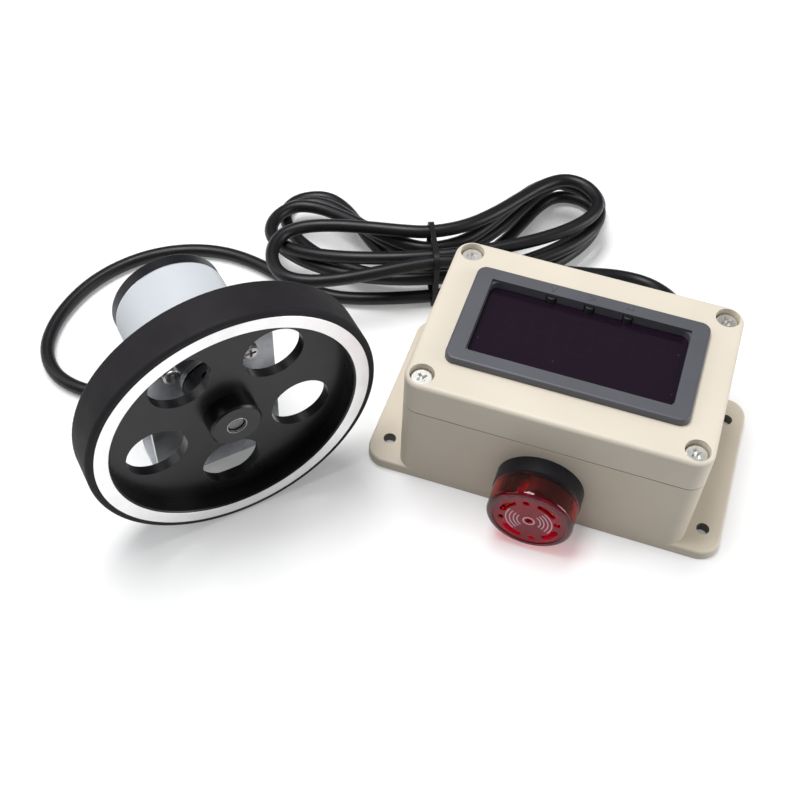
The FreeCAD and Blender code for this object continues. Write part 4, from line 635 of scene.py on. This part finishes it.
def digit_segments():
    """The faint segments of five digits under the dark window."""
    made = moulded_plastic("segment_resin", (0.34, 0.17, 0.31), 0.5)
    half_width, half_height, width = 3.65 * MM, 5.8 * MM, 1.3 * MM
    trim = width * 0.65
    low, high = DIGIT_TOP - 0.05 * MM, DIGIT_TOP + 0.03 * MM

    def build(shape):
        for step in (-2, -1, 0, 1, 2):
            x = DIGIT_PITCH * step
            for level in (-1, 0, 1):
                y = DIGIT_MIDDLE + half_height * level
                stroke(shape, [(x - half_width + trim, y), (x + half_width - trim, y)], width, low, high)
            for side in (-1, 1):
                for level in (-1, 1):
                    ends = [(x + half_width * side, DIGIT_MIDDLE + reach * level)
                            for reach in (trim, half_height - trim)]
                    stroke(shape, ends, width, low, high)
    mesh_piece("digit_segments", build, made, "frame")


# Sounder dressing


def lens_prints():
    """A pale ring and arcs on the lens's face that stand for sound."""
    made = moulded_plastic("pale_print", (0.80, 0.50, 0.58), 0.5, grain_depth=0.00001)
    low, high = LENS_FACE - 0.02 * MM, LENS_FACE + 0.06 * MM

    def build(shape):
        def ring(radius, width, start, end):
            profile = [(low, radius - width / 2), (high, radius - width / 2),
                       (high, radius + width / 2), (low, radius + width / 2)]
            lathe(profile, 40, start, end)(shape)
        ring(RING_RADIUS, RING_WIDTH, 0, 2 * math.pi)
        for radius in ARC_RADII:
            for middle in (FACE_TURN, FACE_TURN + math.pi):
                ring(radius, ARC_WIDTH, middle - ARC_HALF_TURN, middle + ARC_HALF_TURN)
    mesh_piece("lens_prints", build, made, "frame", sounder_matrix())


def lens_baffle():
    """Black walls inside the lens, with gaps that light shines through."""
    low, high = LENS_BACK + 0.05 * MM, LENS_FACE - 1.7 * MM
    inner, outer = 11.0 * MM, LENS_BORE - 0.1 * MM
    profile = [(low, inner), (high, inner), (high, outer), (low, outer)]

    def build(shape):
        for start, end in BAFFLE_WALLS:
            lathe(profile, 24, math.radians(start), math.radians(end))(shape)
    piece = mesh_piece("lens_baffle", build, FINISHES["black_plastic"], "frame", sounder_matrix())
    smooth_by_angle(piece)
    piece.visible_shadow = False


# Tie


def tie_strap():
    """The strap round the waist, with its edges rounded."""
    node = frame["nodes"]["hank_tie"]
    bevel = node.modifiers.new("rounding", "BEVEL")
    bevel.width = 0.3 * MM
    bevel.segments = 2
    bevel.limit_method = "ANGLE"


# Stage, lights and camera


def stage():
    mesh = bpy.data.meshes.new("floor")
    shape = bmesh.new()
    bmesh.ops.create_grid(shape, x_segments=1, y_segments=1, size=FLOOR_REACH)
    shape.to_mesh(mesh)
    shape.free()
    floor = bpy.data.objects.new("floor", mesh)
    bpy.context.collection.objects.link(floor)
    floor.location.z = FLOOR_LEVEL
    nodes = Nodes(bpy.data.materials.new("floor_paper"))
    paper = nodes.noise(nodes.place(), 60.0, 3.0)
    base = nodes.ramp(paper, [(0.3, (0.80, 0.80, 0.80)), (0.7, (0.82, 0.82, 0.82))])
    matt = nodes.add("ShaderNodeBsdfDiffuse", {"Color": base, "Roughness": 0.5})
    glow = nodes.add("ShaderNodeEmission", {"Color": WHITE, "Strength": FLOOR_GLOW})
    bounce = nodes.add("ShaderNodeBsdfDiffuse", {"Color": FLOOR_BOUNCE, "Roughness": 0.5})
    bright = nodes.add("ShaderNodeAddShader")
    nodes.tree.links.new(matt.outputs[0], bright.inputs[0])
    nodes.tree.links.new(glow.outputs[0], bright.inputs[1])
    path = nodes.add("ShaderNodeLightPath")
    seen = nodes.math("MAXIMUM", path.outputs["Is Camera Ray"], path.outputs["Is Glossy Ray"])
    seen = nodes.math("MAXIMUM", seen, path.outputs["Is Transmission Ray"])
    mesh.materials.append(nodes.finish(nodes.mix(seen, bounce, bright)))


def world():
    made = bpy.data.worlds.new("studio")
    bpy.context.scene.world = made
    nodes = Nodes(made)
    path = nodes.add("ShaderNodeLightPath")
    seen = nodes.math("MAXIMUM", path.outputs["Is Camera Ray"], path.outputs["Is Transmission Ray"])
    soft = nodes.add("ShaderNodeBackground", {"Color": SKY_TINT, "Strength": SKY_STRENGTH})
    white = nodes.add("ShaderNodeBackground", {"Color": WHITE, "Strength": 1.0})
    dim = nodes.add("ShaderNodeBackground", {"Color": SKY_TINT, "Strength": SKY_STRENGTH_IN_GLOSS})
    sky = nodes.mix(path.outputs["Is Glossy Ray"], nodes.mix(seen, soft, white), dim)
    nodes.add("ShaderNodeOutputWorld", {"Surface": sky.outputs[0]})


def lamp(name, place, size, power):
    data = bpy.data.lights.new(name, "AREA")
    data.shape = "RECTANGLE"
    data.size, data.size_y = size
    data.energy = power
    light = bpy.data.objects.new(name, data)
    light.location = place
    light.rotation_euler = (Vector(LAMP_AIM) - Vector(place)).to_track_quat("-Z", "Y").to_euler()
    bpy.context.collection.objects.link(light)


def lights():
    lamp("overhead", (-0.24, 0.04, 1.0), (0.66, 0.36), 9.2)
    lamp("left_fill", (-0.9, -0.25, 0.5), (0.5, 0.7), 2.2)
    lamp("right_fill", (0.9, 0.16, 0.30), (0.5, 0.5), 4.3)


def camera():
    data = bpy.data.cameras.new("camera")
    data.lens = CAMERA_LENS
    data.sensor_width = CAMERA_SENSOR
    data.clip_start = 0.01
    ahead = Vector((math.sin(CAMERA_YAW) * math.cos(CAMERA_PITCH), math.cos(CAMERA_YAW) * math.cos(CAMERA_PITCH),
                    -math.sin(CAMERA_PITCH)))
    level = Vector((math.cos(CAMERA_YAW), -math.sin(CAMERA_YAW), 0))
    up = level.cross(ahead)
    right = level * math.cos(CAMERA_ROLL) + up * math.sin(CAMERA_ROLL)
    up = up * math.cos(CAMERA_ROLL) - level * math.sin(CAMERA_ROLL)
    turn = Matrix((right, up, -ahead)).transposed()
    view = bpy.data.objects.new("camera", data)
    view.matrix_world = Matrix.Translation(CAMERA_PLACE) @ turn.to_4x4()
    bpy.context.collection.objects.link(view)
    bpy.context.scene.camera = view


dress_nodes()
cable()
tie_strap()
rim_face()
bore_edge()
label_band()
bezel_marks()
digit_segments()
lens_prints()
lens_baffle()
stage()
world()
lights()
camera()
bpy.context.scene.view_settings.view_transform = "Standard"

bpy.context.view_layer.update()
